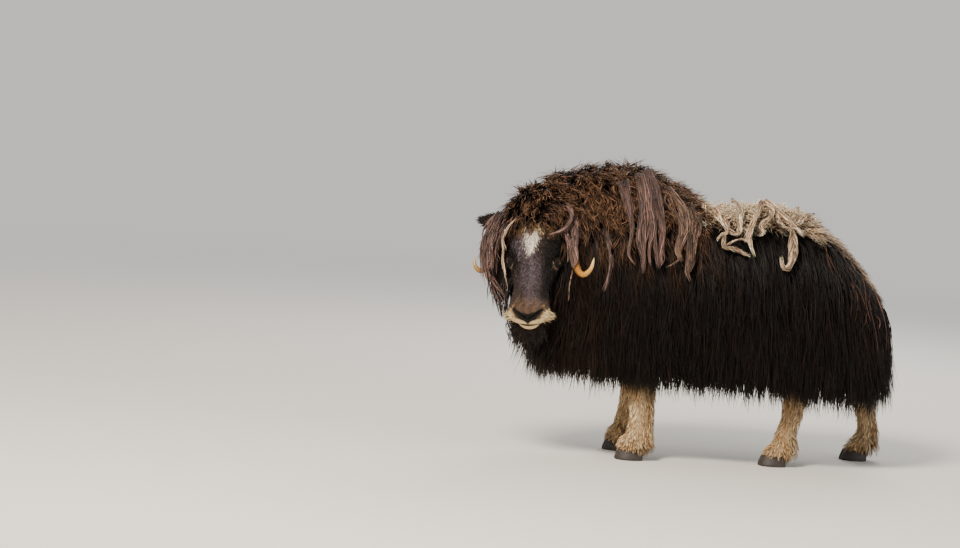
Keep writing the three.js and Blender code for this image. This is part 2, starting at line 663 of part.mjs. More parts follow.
// Forelock falling all round the crown, hair that hangs behind the cheeks, and the beard under the jaw.
function headLocks() {
  const locks = [];
  const top = along(pateBase, [UP, PATE.height - 20]);
  const rings = [
    { count: 7, start: 16, length: 170, rise: 128, drop: 180, width: 96 },
    { count: 8, start: 66, length: 110, rise: 46, drop: 196, width: 76 },
  ];
  for (const { count, start, length, rise, drop, width } of rings) {
    for (let k = 0; k < count; k++) {
      const swing = 2 * PI * (k + (start > 20 ? 0.5 : 0) + random(-0.12, 0.12)) / count;
      if (start > 20 && cos(swing) < 0) continue;
      const out = mix([headLevel, cos(swing)], [levelSide, sin(swing)]);
      const reach = length * (1 - 0.22 * abs(sin(swing)));
      const path = [0, 1, 2, 3, 4].map(i => stationAt(i, 4)).map(t => along(top, [out, start + reach * t],
        [UP, (t === 0 ? -24 : rise * sin(2.4 * t)) - drop * t * t - start * 0.5]));
      const facing = mix([UP, 0.7], [out, 0.7]);
      locks.push(lock(path, { width: width * random(0.92, 1.08), thick: 24, root: 0.45, facing }));
    }
  }
  for (const side of [-1, 1]) {
    for (let k = 0; k < 3; k++) {
      const root = onHead(side * (84 + 7 * k), 56 + 84 * k, -130 - 10 * k);
      const length = random(220, 270) - 20 * k;
      const size = { length, lift: 26, width: random(78, 88), thick: 20, steps: 3 };
      locks.push(hangingLock(root, headWay(side, 0, -0.1), size));
    }
  }
  for (let k = 0; k < 6; k++) {
    const across = 34 * ((k % 2) * 2 - 1) + random(-6, 6);
    const root = onHead(across * (1 - k / 12), 200 + 40 * k, -150 + 7 * k);
    const length = root.z - BEARD_TIP - 14 * k + random(-12, 12);
    const size = { length, lift: 16, width: random(58, 68), thick: 20, steps: 3 };
    locks.push(hangingLock(root, headWay(across / 40, 0.2, -0.4), size));
  }
  return locks;
}

// The neck's core runs from inside the shoulders to the back of the head.
function neckCore() {
  const route = new THREE.CatmullRomCurve3([vec(-430, 0, 880), vec(-640, -30, 890), onHead(0, 110, -60)]);
  const sizes = [[0, 195, 310, 300], [0.25, 184, 300, 285], [0.5, 166, 286, 250], [0.75, 136, 250, 240],
    [1, 88, 116, 140]];
  return loft(sizes.map(([t, half, above, below]) => {
    const ahead = route.getTangent(t);
    const u = ahead.clone().cross(UP).normalize();
    return oval(route.getPoint(t), u, u.clone().cross(ahead).normalize(), half, above, below, 14, 2.2);
  }));
}

// Mane over the neck: locks down both sides from the crest, and long throat hair.
function neckLocks() {
  const locks = [];
  const rows = [
    { height: 1140, reach: 58, lift: 58, count: 3 },
    { height: 1010, reach: 136, lift: 54, count: 3 },
    { height: 860, reach: 156, lift: 50, count: 3 },
    { height: 700, reach: 130, lift: 46, count: 3 },
  ];
  for (const side of [-1, 1]) {
    rows.forEach(({ height, reach, lift, count }, row) => {
      for (let k = 0; k < count; k++) {
        const x = -610 - 66 * k + (row % 2) * 30 + random(-6, 6);
        const bend = side < 0 ? 10 * k : -18 * k;
        const root = vec(x, side * reach - 14 - 14 * k + bend, height - 16 * k);
        const out = vec(-0.15, side, row === 0 ? 0.8 : 0.15).normalize();
        const length = row === 3 ? 400 - 50 * k : random(240, 290);
        locks.push(hangingLock(root, out, { length, lift, width: random(84, 94), sink: 50, steps: 3 }));
      }
    });
  }
  return locks;
}

// Legs: centre line and half widths from the hoof up to the cut inside the skirt, larger by room all round.
const LEGS = {
  leg_front_left: { x: -300, y: -160, front: true, lean: 0 },
  leg_front_right: { x: -258, y: 160, front: true, lean: 60 },
  leg_rear_left: { x: 352, y: -170, front: false, lean: 90 },
  leg_rear_right: { x: 848, y: 165, front: false, lean: -95 },
};

function legBody({ x, y, front, lean }, room = 0) {
  const back = front
    ? profile([46, 8], [80, 24], [130, 38], [260, 36], [400, 22], [540, 0])
    : profile([46, 12], [80, 36], [130, 50], [260, 50], [400, 26], [540, -15]);
  const inward = profile([46, 0], [300, 4], [540, 22]);
  const half = front
    ? profile([46, 54], [85, 58], [120, 50], [200, 47], [300, 54], [400, 62], [540, 78])
    : profile([46, 52], [85, 50], [120, 42], [200, 38], [300, 48], [400, 62], [540, 88]);
  const across = front
    ? profile([46, 54], [85, 52], [120, 44], [200, 42], [300, 48], [540, 66])
    : profile([46, 52], [85, 48], [120, 40], [200, 37], [300, 42], [540, 70]);
  const outer = sign(y);
  const stations = [HOOF_HEIGHT + GAP, 66, 90, 125, 180, 240, 310, 400, LEG_TOP + room];
  return loft(stations.map(z => {
    const middle = vec(x + back(z) + lean * max(0, z - 150) / (LEG_TOP - 150), y - outer * inward(z), z);
    const wide = across(z) + room;
    return oval(middle, vec(1, 0, 0), vec(0, 1, 0), half(z) + room, wide, wide, 12, 2.2);
  }));
}

// The two small dew claws behind each fetlock.
function dewClaws({ x, y, front }) {
  return [-1, 1].map(side => {
    const centre = vec(x + (front ? 62 : 72), y + side * 20, front ? 84 : 86);
    const way = vec(0.55, side * 0.12, -0.8).normalize();
    const u = vec(0, 1, 0);
    const v = way.clone().cross(u).normalize();
    return loft([[-14, 15], [8, 13], [24, 9]].map(([out, radius]) =>
      oval(along(centre, [way, out]), u, v, radius * 0.85, radius, radius, 6, 2)));
  });
}

// One half of a cloven hoof: rounded outside, flat towards its fellow, with a level sole.
function hoof({ x, y }, side) {
  const outline = [[-60, 5], [-62, 14], [-50, 34], [-22, 51], [14, 55], [42, 46], [54, 28], [52, 5], [0, 3]];
  return loft([[0, 1, 0], [14, 1.02, 0], [HOOF_HEIGHT, 0.86, 9]].map(([height, scale, shift]) =>
    outline.map(([along_, out]) => vec(x + along_ * scale + shift, y + side * max(out * scale, 3), height))));
}

// The short tail, hanging against the rump under its own tuft.
const TAIL = { x: 748, top: 800, tip: 705 };

function tail() {
  const core = loft([[TAIL.top, 30, 26], [755, 27, 22], [TAIL.tip, 18, 15]].map(([z, half, deep]) =>
    oval(vec(TAIL.x + (TAIL.top - z) * 0.5, 0, z), vec(0, 1, 0), vec(1, 0, 0), half, deep, deep, 8, 2)));
  const tuft = [-1, 0, 1].map(k => {
    const size = { length: 120, lift: 16, width: 38, thick: 16, sink: 14, steps: 3 };
    return hangingLock(vec(TAIL.x + 34, 15 * k, 760), vec(1, 0.3 * k, 0).normalize(), size);
  });
  return union([core, ...tuft]);
}

// The room under the rump hair that the tail hangs in; its upper end lies against the tail's root.
function tailRoom() {
  const sizes = [[TAIL.top + GAP, 40, 34], [755, 52, 48], [690, 58, 62], [620, 48, 56]];
  return solid(loft(sizes.map(([z, half, deep]) => {
    const centre = vec(TAIL.x + 4 + (TAIL.top - z) * 0.36, 0, z);
    return oval(centre, vec(0, 1, 0), vec(1, 0, 0), half, deep, deep, 8, 2);
  })));
}

const finish = {
  coat: { color: 0x3a2418, roughness: 0.95, metalness: 0 },
  face: { color: 0x6b5a50, roughness: 0.9, metalness: 0 },
  stocking: { color: 0xb08a58, roughness: 0.9, metalness: 0 },
  horn: { color: 0xc08a3c, roughness: 0.45, metalness: 0 },
  hoof: { color: 0x2e2724, roughness: 0.6, metalness: 0 },
  eye: { color: 0x120c09, roughness: 0.08, metalness: 0 },
};

const animal = new THREE.Group();
animal.position.set(FLOOR_SHIFT.x, FLOOR_SHIFT.y, 0);

function add(name, geometry, slot) {
  const mesh = new THREE.Mesh(geometry, new THREE.MeshStandardMaterial(finish[slot]));
  mesh.name = name;
  animal.add(mesh);
}

// Head: horns, eyes and ears are let into it with a thin gap all round.
const eye = side => ball(eyeCentre(side), EYE.radius, 10, 7);
const [horns, ears, eyes] = [horn, ear, eye].map(make => [make(1), make(-1)]);
const sockets = [solid(lidOpening(1)), solid(lidOpening(-1)), ...eyes.map(form => clearance(form))];
const faceCuts = [nostril(1), nostril(-1), mouthLine()].map(solid);
const fittings = [...horns.map(form => clearance(form)), solid(earRoom(1)), solid(earRoom(-1))];
const headForms = union([skull(), jaw(), pate(), orbit(1), orbit(-1)]);
const headShape = headForms.subtract(union([...sockets, ...faceCuts]));
const headWhole = union([headShape, ...headLocks()]).subtract(union(fittings));
add('head', tidied(beyond(headWhole, HEAD_CUT)), 'face');
['left', 'right'].forEach((side, i) => {
  add(`horn_${side}`, horns[i], 'horn');
  add(`ear_${side}`, ears[i], 'coat');
  add(`eye_${side}`, eyes[i], 'eye');
});

// Legs with their hooves.
for (const [name, place] of Object.entries(LEGS)) {
  add(name, tidied(union([legBody(place), ...dewClaws(place)])), 'stocking');
  const outer = sign(place.y);
  add(name.replace('leg', 'hoof') + '_outer', hoof(place, outer), 'hoof');
  add(name.replace('leg', 'hoof') + '_inner', hoof(place, -outer), 'hoof');
}

// Trunk and neck are one coat, parted by thin cuts; legs, tail and the head's fittings are let into it.
const legRooms = Object.values(LEGS).map(place => solid(legBody(place, FITTING_GAP)));
const cores = [trunkCore(), neckCore()];
const locks = [...crestLocks(), ...coatLocks(), ...endLocks(), ...shedRopes(), ...neckLocks()];
const coat = union([...cores, ...locks]).subtract(union([...legRooms, tailRoom(), ...fittings]));
const trunk = behind(behind(coat, NECK_CUT), HEAD_CUT);
add('neck', tidied(behind(beyond(coat, NECK_CUT), HEAD_CUT)), 'coat');
add('forequarters', tidied(beforeX(trunk, SHOULDER_CUT)), 'coat');
add('barrel', tidied(beforeX(afterX(trunk, SHOULDER_CUT), FLANK_CUT)), 'coat');
add('hindquarters', tidied(afterX(trunk, FLANK_CUT)), 'coat');
add('tail', tidied(tail()), 'coat');

export default animal;
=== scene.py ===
import math

import bpy
import numpy as np
from mathutils import Matrix, Vector
from mathutils.bvhtree import BVHTree


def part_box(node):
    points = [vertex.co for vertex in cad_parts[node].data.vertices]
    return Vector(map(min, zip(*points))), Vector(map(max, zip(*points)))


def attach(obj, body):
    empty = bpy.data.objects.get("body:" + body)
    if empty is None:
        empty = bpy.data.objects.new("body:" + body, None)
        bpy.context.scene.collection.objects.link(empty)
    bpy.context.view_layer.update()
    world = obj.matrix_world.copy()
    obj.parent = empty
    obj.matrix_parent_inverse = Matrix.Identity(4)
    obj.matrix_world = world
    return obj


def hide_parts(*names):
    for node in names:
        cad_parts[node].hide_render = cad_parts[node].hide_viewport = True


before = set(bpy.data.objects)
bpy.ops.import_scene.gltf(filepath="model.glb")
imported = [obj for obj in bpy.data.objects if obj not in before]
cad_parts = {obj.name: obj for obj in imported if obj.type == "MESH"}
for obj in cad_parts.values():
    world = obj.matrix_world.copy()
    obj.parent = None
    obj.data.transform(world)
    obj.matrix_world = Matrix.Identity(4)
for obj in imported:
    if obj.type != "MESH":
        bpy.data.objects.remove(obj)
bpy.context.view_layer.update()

# A standing muskox cow at life size, in metres. The body faces -X, its left side is -Y and the head is
# turned to its left. FLOOR_SHIFT is where the body's own origin stands on the floor.
FLOOR_SHIFT = np.array([0.07, 0.028, 0.0])


# The view: a long lens from the animal's left, a little ahead of it and above it, as in the photograph.
# PIXELS_PER_METRE and ORIGIN_PIXEL say how large and where the animal stands in the 960 by 548 picture.
CAMERA_AZIMUTH = math.radians(-16)
CAMERA_ELEVATION = math.radians(5)
CAMERA_ROLL = math.radians(4.5)
CAMERA_DISTANCE = 22
PICTURE = (960, 548)
PIXELS_PER_METRE = 229
ORIGIN_PIXEL = (683, 457)

back = Vector((
    math.sin(CAMERA_AZIMUTH) * math.cos(CAMERA_ELEVATION),
    -math.cos(CAMERA_AZIMUTH) * math.cos(CAMERA_ELEVATION),
    math.sin(CAMERA_ELEVATION),
))
level_right = Vector((math.cos(CAMERA_AZIMUTH), math.sin(CAMERA_AZIMUTH), 0))
rolled = Matrix.Rotation(CAMERA_ROLL, 3, back)
right = rolled @ level_right
up = rolled @ back.cross(level_right).normalized()
across = (PICTURE[0] / 2 - ORIGIN_PIXEL[0]) / PIXELS_PER_METRE
upward = (ORIGIN_PIXEL[1] - PICTURE[1] / 2) / PIXELS_PER_METRE
target = Vector(FLOOR_SHIFT) + right * across + up * upward
camera_data = bpy.data.cameras.new("camera")
camera_data.sensor_width = 36
camera_data.lens = camera_data.sensor_width * CAMERA_DISTANCE * PIXELS_PER_METRE / PICTURE[0]
camera_data.clip_end = 100
camera = bpy.data.objects.new("camera", camera_data)
camera.matrix_world = Matrix.Translation(target + back * CAMERA_DISTANCE) @ (
    Matrix((right, up, back)).transposed().to_4x4()
)
bpy.context.scene.collection.objects.link(camera)
bpy.context.scene.camera = camera


# The stage: a pale matt studio floor that runs into a pale surround, lit by a large soft key from the upper
# left front, a weak fill from the right and a rim from behind.
def linear(hex_colour, alpha=1.0):
    values = [int(hex_colour[i:i + 2], 16) / 255 for i in (1, 3, 5)]
    return (*[v / 12.92 if v <= 0.04045 else ((v + 0.055) / 1.055) ** 2.4 for v in values], alpha)


def add_node(material, kind, settings=None, **links):
    """Adds one shader node; settings hold its properties and input values, links its incoming sockets."""
    tree = material.node_tree
    new = tree.nodes.new(kind)
    for key, value in (settings or {}).items():
        if isinstance(key, int) or key in new.inputs:
            new.inputs[key].default_value = value
        else:
            setattr(new, key, value)
    for key, socket in links.items():
        tree.links.new(socket, new.inputs[key.replace("_", " ")])
    return new


def new_material(name):
    material = bpy.data.materials.new(name)
    material.use_nodes = True
    material.node_tree.nodes.clear()
    return material


def finish_material(material, shader):
    output = add_node(material, "ShaderNodeOutputMaterial", Surface=shader.outputs[0])
    output.is_active_output = True


SURROUND = "#E6E4E1"
SURROUND_STRENGTH = 0.9
FLOOR_REACH = 40
# Between these distances from the middle the floor melts into the surround.
FADE_START, FADE_END = 3.0, 11.0
floor_mesh = bpy.data.meshes.new("floor")
corners = [(x * FLOOR_REACH, y * FLOOR_REACH, 0) for x, y in ((-1, -1), (1, -1), (1, 1), (-1, 1))]
floor_mesh.from_pydata(corners, [], [(0, 1, 2, 3)])
floor = bpy.data.objects.new("floor", floor_mesh)
bpy.context.scene.collection.objects.link(floor)
pale_floor = new_material("matt pale studio floor")
paint = add_node(pale_floor, "ShaderNodeBsdfPrincipled", {
    "Base Color": linear("#CFCBC4"),
    "Roughness": 0.9,
    "Specular IOR Level": 0.2,
})
surround = add_node(pale_floor, "ShaderNodeEmission", {
    "Color": linear(SURROUND),
    "Strength": SURROUND_STRENGTH,
})
floor_place = add_node(pale_floor, "ShaderNodeTexCoord")
from_middle = add_node(pale_floor, "ShaderNodeVectorMath", {"operation": "LENGTH"},
                       Vector=floor_place.outputs["Object"])
fade = add_node(pale_floor, "ShaderNodeMapRange", {
    "interpolation_type": "SMOOTHSTEP", "From Min": FADE_START, "From Max": FADE_END,
}, Value=from_middle.outputs["Value"])
blended = add_node(pale_floor, "ShaderNodeMixShader", Fac=fade.outputs["Result"])
pale_floor.node_tree.links.new(paint.outputs[0], blended.inputs[1])
pale_floor.node_tree.links.new(surround.outputs[0], blended.inputs[2])
finish_material(pale_floor, blended)
floor_mesh.materials.append(pale_floor)

world = bpy.data.worlds.new("studio surround")
world.use_nodes = True
world.node_tree.nodes["Background"].inputs["Color"].default_value = linear(SURROUND)
world.node_tree.nodes["Background"].inputs["Strength"].default_value = SURROUND_STRENGTH
bpy.context.scene.world = world

LAMPS = {
    "key": {"at": (-4.5, -5.0, 6.5), "size": 2.2, "power": 1500, "colour": "#FFF3E4"},
    "fill": {"at": (5.5, -5.0, 2.5), "size": 4.0, "power": 120, "colour": "#EAF0FF"},
    "rim": {"at": (3.0, 5.5, 4.5), "size": 3.0, "power": 320, "colour": "#FFFFFF"},
}
LAMPS_AIM_AT = (0, 0, 0.7)
for name, lamp in LAMPS.items():
    light = bpy.data.lights.new(name, "AREA")
    light.size = lamp["size"]
    light.energy = lamp["power"]
    light.color = linear(lamp["colour"])[:3]
    holder = bpy.data.objects.new(name, light)
    holder.location = lamp["at"]
    aim = Vector(LAMPS_AIM_AT) - Vector(lamp["at"])
    holder.rotation_euler = aim.to_track_quat("-Z", "Y").to_euler()
    bpy.context.scene.collection.objects.link(holder)


# The body's skin under the coat: trunk, neck and crown pad are lofted from their outlines, fused by a voxel
# remesh and smoothed. It lies at the depth of the woolly core that carries the long locks.
UP = np.array([0.0, 0.0, 1.0])
REARWARD = np.array([1.0, 0.0, 0.0])
RIGHTWARD = np.array([0.0, 1.0, 0.0])


def profile(*knots):
    """A smooth curve through a few (place, value) knots."""
    at = np.array([k[0] for k in knots], float)
    value = np.array([k[1] for k in knots], float)
    low = np.maximum(np.arange(len(at)) - 1, 0)
    high = np.minimum(np.arange(len(at)) + 1, len(at) - 1)
    slope = (value[high] - value[low]) / (at[high] - at[low])

    def curve(x):
        x = np.clip(x, at[0], at[-1])
        i = np.clip(np.searchsorted(at, x, side="right") - 1, 0, len(at) - 2)
        step = at[i + 1] - at[i]
        t = (x - at[i]) / step
        return (
            value[i] * (2 * t ** 3 - 3 * t ** 2 + 1) + value[i + 1] * (3 * t ** 2 - 2 * t ** 3)
            + step * (slope[i] * (t ** 3 - 2 * t ** 2 + t) + slope[i + 1] * (t ** 3 - t ** 2))
        )

    return curve


def smooth(low, high, x):
    t = np.clip((x - low) / (high - low), 0, 1)
    return t * t * (3 - 2 * t)


def unit(vectors):
    return vectors / np.maximum(np.linalg.norm(vectors, axis=-1, keepdims=True), 1e-9)


# The trunk's outlines along x: height of back and belly, half width, and the height where it is widest.
trunk_top = profile(
    (-0.70, 1.03), (-0.62, 1.14), (-0.52, 1.20), (-0.43, 1.215), (-0.30, 1.208), (-0.17, 1.156),
    (-0.02, 1.078), (0.15, 1.074), (0.29, 1.092), (0.45, 1.056), (0.60, 0.976), (0.72, 0.868),
    (0.79, 0.778), (0.838, 0.69),
)
trunk_base = profile(
    (-0.70, 0.56), (-0.64, 0.44), (-0.54, 0.395), (-0.30, 0.385), (0.40, 0.38), (0.65, 0.375), (0.76, 0.38),
    (0.838, 0.44),
)
trunk_half = profile(
    (-0.70, 0.10), (-0.64, 0.165), (-0.52, 0.215), (-0.40, 0.242), (-0.20, 0.266), (0, 0.29), (0.20, 0.298),
    (0.40, 0.292), (0.56, 0.278), (0.70, 0.246), (0.79, 0.206), (0.838, 0.15),
)
trunk_widest = profile((-0.70, 0.74), (-0.40, 0.72), (0.40, 0.69), (0.838, 0.60))
TRUNK_START, TRUNK_END = -0.70, 0.838


def mesh_object(name, points, faces):
    """An object from arrays: faces is an array of triangles or quads."""
    mesh = bpy.data.meshes.new(name)
    points = np.asarray(points, np.float32)
    faces = np.asarray(faces, np.int32)
    count, sides = faces.shape
    mesh.vertices.add(len(points))
    mesh.vertices.foreach_set("co", points.ravel())
    mesh.loops.add(count * sides)
    mesh.loops.foreach_set("vertex_index", faces.ravel())
    mesh.polygons.add(count)
    mesh.polygons.foreach_set("loop_start", np.arange(count, dtype=np.int32) * sides)
    mesh.polygons.foreach_set("loop_total", np.full(count, sides, np.int32))
    mesh.update(calc_edges=True)
    mesh.polygons.foreach_set("use_smooth", np.ones(count, bool))
    made = bpy.data.objects.new(name, mesh)
    bpy.context.scene.collection.objects.link(made)
    return made


def strips(stations, count):
    """Triangles between neighbouring rings of count points each."""
    k = np.arange(count)
    following = (k + 1) % count
    faces = []
    for r in range(stations - 1):
        a, b = r * count + k, r * count + following
        faces += [np.stack([a, b, b + count], 1), np.stack([a, b + count, a + count], 1)]
    return np.concatenate(faces)


def loft(rings):
    """Points and triangles of a closed form through equal rings, its ends closed by fans."""
    rings = np.asarray(rings, float)
    stations, count = rings.shape[:2]
    points = np.concatenate([rings.reshape(-1, 3), rings[0].mean(0)[None], rings[-1].mean(0)[None]])
    k = np.arange(count)
    following = (k + 1) % count
    last = (stations - 1) * count
    start_fan = np.stack([np.full(count, stations * count), following, k], 1)
    end_fan = np.stack([np.full(count, stations * count + 1), last + k, last + following], 1)
    return points, np.concatenate([strips(stations, count), start_fan, end_fan])


def joined(*forms):
    """Several forms as one."""
    points, faces, offset = [], [], 0
    for form_points, form_faces in forms:
        points.append(form_points)
        faces.append(form_faces + offset)
        offset += len(form_points)
    return np.concatenate(points), np.concatenate(faces)


def superellipse(count, squareness=2.2):
    """Cosine and sine round an oval; 2 gives a true ellipse, and more a squarer one."""
    angle = 2 * np.pi * (np.arange(count) + 0.5) / count
    power = 2 / squareness
    return (
        np.sign(np.cos(angle)) * np.abs(np.cos(angle)) ** power,
        np.sign(np.sin(angle)) * np.abs(np.sin(angle)) ** power,
    )


def oval(centre, u, v, wide, above, below, count=32, squareness=2.2):
    c, s = superellipse(count, squareness)
    return centre + np.outer(c * wide, u) + np.outer(np.where(s > 0, above, below) * s, v)


TRUNK_AROUND = 48
# Powers that round the trunk: nearly a true oval above its widest place, and fuller below it.
ROUND_ABOVE, ROUND_BELOW = 0.92, 0.5


def trunk_ring(x):
    half_count = TRUNK_AROUND // 2
    turn = np.pi * (np.arange(half_count) + 0.5) / half_count
    turn = np.concatenate([turn, turn[::-1]])
    side = np.repeat([1, -1], half_count)
    above = np.cos(turn) > 0
    power = np.where(above, ROUND_ABOVE, ROUND_BELOW)
    deep = np.where(above, trunk_top(x) - trunk_widest(x), trunk_widest(x) - trunk_base(x))
    y = side * trunk_half(x) * np.sin(turn) ** power
    z = trunk_widest(x) + deep * np.sign(np.cos(turn)) * np.abs(np.cos(turn)) ** power
    return np.stack([np.full(TRUNK_AROUND, x), y, z], 1)


# The head's own directions: side is the animal's left, face runs from crown to nose, and front points out of
# the forehead. CROWN is the point between the horns.
CROWN = np.array([-0.80, -0.15, 1.04])
HEAD_TURN, HEAD_PITCH, HEAD_LEAN = (math.radians(degrees) for degrees in (63, 60, 4.5))
head_level = np.array([-math.cos(HEAD_TURN), -math.sin(HEAD_TURN), 0])
level_side = np.array([-head_level[1], head_level[0], 0])
level_face = head_level * math.cos(HEAD_PITCH) - UP * math.sin(HEAD_PITCH)
FRONT = head_level * math.sin(HEAD_PITCH) + UP * math.cos(HEAD_PITCH)
FACE = level_face * math.cos(HEAD_LEAN) + level_side * math.sin(HEAD_LEAN)
SIDE = level_side * math.cos(HEAD_LEAN) - level_face * math.sin(HEAD_LEAN)


def on_head(side, face, front):
    side, face, front = np.broadcast_arrays(*(np.asarray(v, float) for v in (side, face, front)))
    return CROWN + side[..., None] * SIDE + face[..., None] * FACE + front[..., None] * FRONT


def head_place(points):
    """Side, face and front measures of points given in the body's frame."""
    away = points - CROWN
    return away @ SIDE, away @ FACE, away @ FRONT


def neck_form():
    """The neck bends from the chest through one middle point to the back of the head."""
    start, middle, end = np.array([-0.43, 0, 0.88]), np.array([-0.64, -0.03, 0.89]), on_head(0, 0.10, -0.07)
    bend = 2 * middle - (start + end) / 2
    leaving = bend - start
    arriving = end - 2 * middle + (start + end) / 2
    wide = profile((0, 0.195), (0.25, 0.184), (0.5, 0.166), (0.75, 0.136), (1, 0.088))
    above = profile((0, 0.31), (0.25, 0.30), (0.5, 0.286), (0.75, 0.25), (1, 0.116))
    below = profile((0, 0.30), (0.25, 0.285), (0.5, 0.25), (0.75, 0.24), (1, 0.13))
    rings = []
    for t in np.linspace(0, 1, 24):
        point = start * (1 - t) ** 2 + bend * 2 * t * (1 - t) + end * t ** 2
        ahead = unit((1 - t) * leaving + t * arriving)
        u = unit(np.cross(ahead, UP))
        rings.append(oval(point, u, np.cross(u, ahead), wide(t), above(t), below(t)))
    return loft(rings)


def crown_form():
    """The pad of bone and skin between the horns."""
    base = on_head(0, 0.024, -0.066)
    scale = profile((-0.06, 0.8), (0, 1), (0.06, 0.94), (0.11, 0.70), (0.135, 0.30))
    return loft([
        oval(base + UP * height, level_side, head_level, 0.108 * scale(height), 0.07 * scale(height),
             0.085 * scale(height), squareness=2)
        for height in np.linspace(-0.06, 0.135, 14)
    ])


def tail_form():
    """The short stub of the tail, which the rump's hair hides."""
    rings = []
    for z in np.linspace(0.80, 0.70, 8):
        centre = np.array([0.748 + (0.80 - z) * 0.5, 0, z])
        size = 0.018 + 0.012 * (z - 0.70) / 0.10
        rings.append(oval(centre, RIGHTWARD, REARWARD, size, size * 0.85, size * 0.85, 24, 2))
    return loft(rings)


trunk_stations = np.concatenate([
    np.linspace(TRUNK_START, TRUNK_END - 0.03, 60),
    [TRUNK_END - 0.018, TRUNK_END - 0.008, TRUNK_END],
])
trunk_form = loft([trunk_ring(x) for x in trunk_stations])
BODY_VOXEL = 0.012
body = mesh_object("muskox_skin", *joined(trunk_form, neck_form(), crown_form(), tail_form()))


def apply_modifier(target_object, kind, **settings):
    """Gives the object the mesh that a modifier makes of it."""
    modifier = target_object.modifiers.new(kind.lower(), kind)
    for key, value in settings.items():
        setattr(modifier, key, value)
    graph = bpy.context.evaluated_depsgraph_get()
    finished = bpy.data.meshes.new_from_object(target_object.evaluated_get(graph))
    target_object.modifiers.clear()
    target_object.data = finished


apply_modifier(body, "REMESH", mode="VOXEL", voxel_size=BODY_VOXEL)
apply_modifier(body, "SMOOTH", factor=0.5, iterations=6)


def arrays_of(mesh):
    """Vertex places and triangles of a mesh."""
    points = np.empty(len(mesh.vertices) * 3)
    mesh.vertices.foreach_get("co", points)
    mesh.calc_loop_triangles()
    faces = np.empty(len(mesh.loop_triangles) * 3, np.int32)
    mesh.loop_triangles.foreach_get("vertices", faces)
    return points.reshape(-1, 3), faces.reshape(-1, 3)


body_form = arrays_of(body.data)
bpy.data.objects.remove(body)


# The head: one fine grid from crown to lips, raised and sunk where bone, lids, nostrils and lips lie. The
# eyes sit in it under lids of their own.
EYE = {"side": 0.099, "face": 0.197, "front": -0.068, "radius": 0.020}
FUR_DEPTH = 0.003
# Outlines from crown to nose: brow and jaw lines, and half widths of the upper and the lower face.
head_top = profile(
    (0, -0.012), (0.05, 0.006), (0.12, 0.006), (0.195, 0), (0.33, -0.005), (0.44, -0.008), (0.47, -0.012),
    (0.49, -0.024),
)
head_base = profile(
    (0, -0.16), (0.05, -0.188), (0.12, -0.204), (0.23, -0.198), (0.30, -0.172), (0.40, -0.136),
    (0.455, -0.124), (0.488, -0.112),
)
upper_half = profile(
    (0, 0.09), (0.05, 0.106), (0.12, 0.112), (0.195, 0.106), (0.26, 0.09), (0.33, 0.082), (0.395, 0.09),
    (0.44, 0.096), (0.47, 0.092), (0.49, 0.08),
)
lower_half = profile((0, 0.08), (0.14, 0.070), (0.30, 0.060), (0.40, 0.062), (0.455, 0.062), (0.488, 0.056))
HEAD_END = 0.494
# Over this length the muzzle closes; NOSE_SQUARENESS says how bluntly.
ROUNDING = 0.052
NOSE_SQUARENESS = 2.4
HEAD_MIDDLE = -0.066
HEAD_AROUND = 128
head_stations = np.concatenate([
    np.linspace(0, HEAD_END - ROUNDING, 112, endpoint=False),
    HEAD_END - ROUNDING * (1 - np.sin(np.linspace(0, np.pi / 2 - 0.02, 30))),
])

# Each swelling or hollow: centre (side, face, front), radii and height. The second group is mirrored.
MIDLINE_FORMS = [
    ((0, 0.30, 0), (0.038, 0.12, 0.03), 0.005),
    ((0, 0.468, -0.016), (0.034, 0.016, 0.018), 0.004),
    ((0, 0.10, 0.0), (0.07, 0.06, 0.04), 0.004),
    ((0, 0.480, -0.098), (0.046, 0.030, 0.022), 0.016),
]
PAIRED_FORMS = [
    ((0.086, 0.160, -0.040), (0.028, 0.032, 0.028), 0.010),
    ((0.070, 0.240, -0.022), (0.022, 0.036, 0.026), -0.008),
    ((0.098, 0.262, -0.078), (0.028, 0.050, 0.022), 0.007),
    ((0.084, 0.340, -0.078), (0.030, 0.040, 0.030), -0.005),
    ((0.052, 0.452, -0.012), (0.018, 0.018, 0.016), 0.008),
    ((0.052, 0.468, -0.060), (0.036, 0.024, 0.018), 0.006),
    ((0.092, 0.430, -0.074), (0.024, 0.030, 0.016), 0.005),
]
# The nostrils are one slit that bends over the tip of the nose, and the mouth is a line across the muzzle.
NOSTRIL = np.array([
    [0.062, 0.444, -0.010], [0.050, 0.459, -0.014], [0.028, 0.474, -0.022], [0.0, 0.483, -0.034],
])
NOSTRIL_DEPTH, NOSTRIL_WIDTH = 0.013, 0.0055
MOUTH_DEPTH, MOUTH_WIDTH = 0.009, 0.0035
mouth_height = profile((0, -0.069), (0.05, -0.068), (0.09, -0.060))


def head_grid():
    c, s = superellipse(HEAD_AROUND, 2.3)
    f = head_stations[:, None]
    top, base = head_top(f) - FUR_DEPTH, head_base(f) + FUR_DEPTH
    front = (top + base) / 2 + (top - base) / 2 * s[None]
    share = smooth(0.25, 0.6, (front - base) / (top - base))
    half = lower_half(f) + (upper_half(f) - lower_half(f)) * share - FUR_DEPTH
    side = half * c[None]
    closing = np.clip((f - (HEAD_END - ROUNDING)) / ROUNDING, 0, 1)
    scale = (1 - closing ** NOSE_SQUARENESS) ** (1 / NOSE_SQUARENESS)
    side = side * scale
    front = HEAD_MIDDLE + (front - HEAD_MIDDLE) * (0.15 + 0.85 * scale)
    return np.stack(np.broadcast_arrays(side, f + 0 * front, front), -1)


def grid_normals(grid):
    along = np.gradient(grid, axis=0)
    around = (np.roll(grid, -1, 1) - np.roll(grid, 1, 1)) / 2
    return unit(np.cross(around, along))


def bump(grid, centre, radii, height):
    away = (grid - np.array(centre)) / np.array(radii)
    return height * np.exp(-(away ** 2).sum(-1))


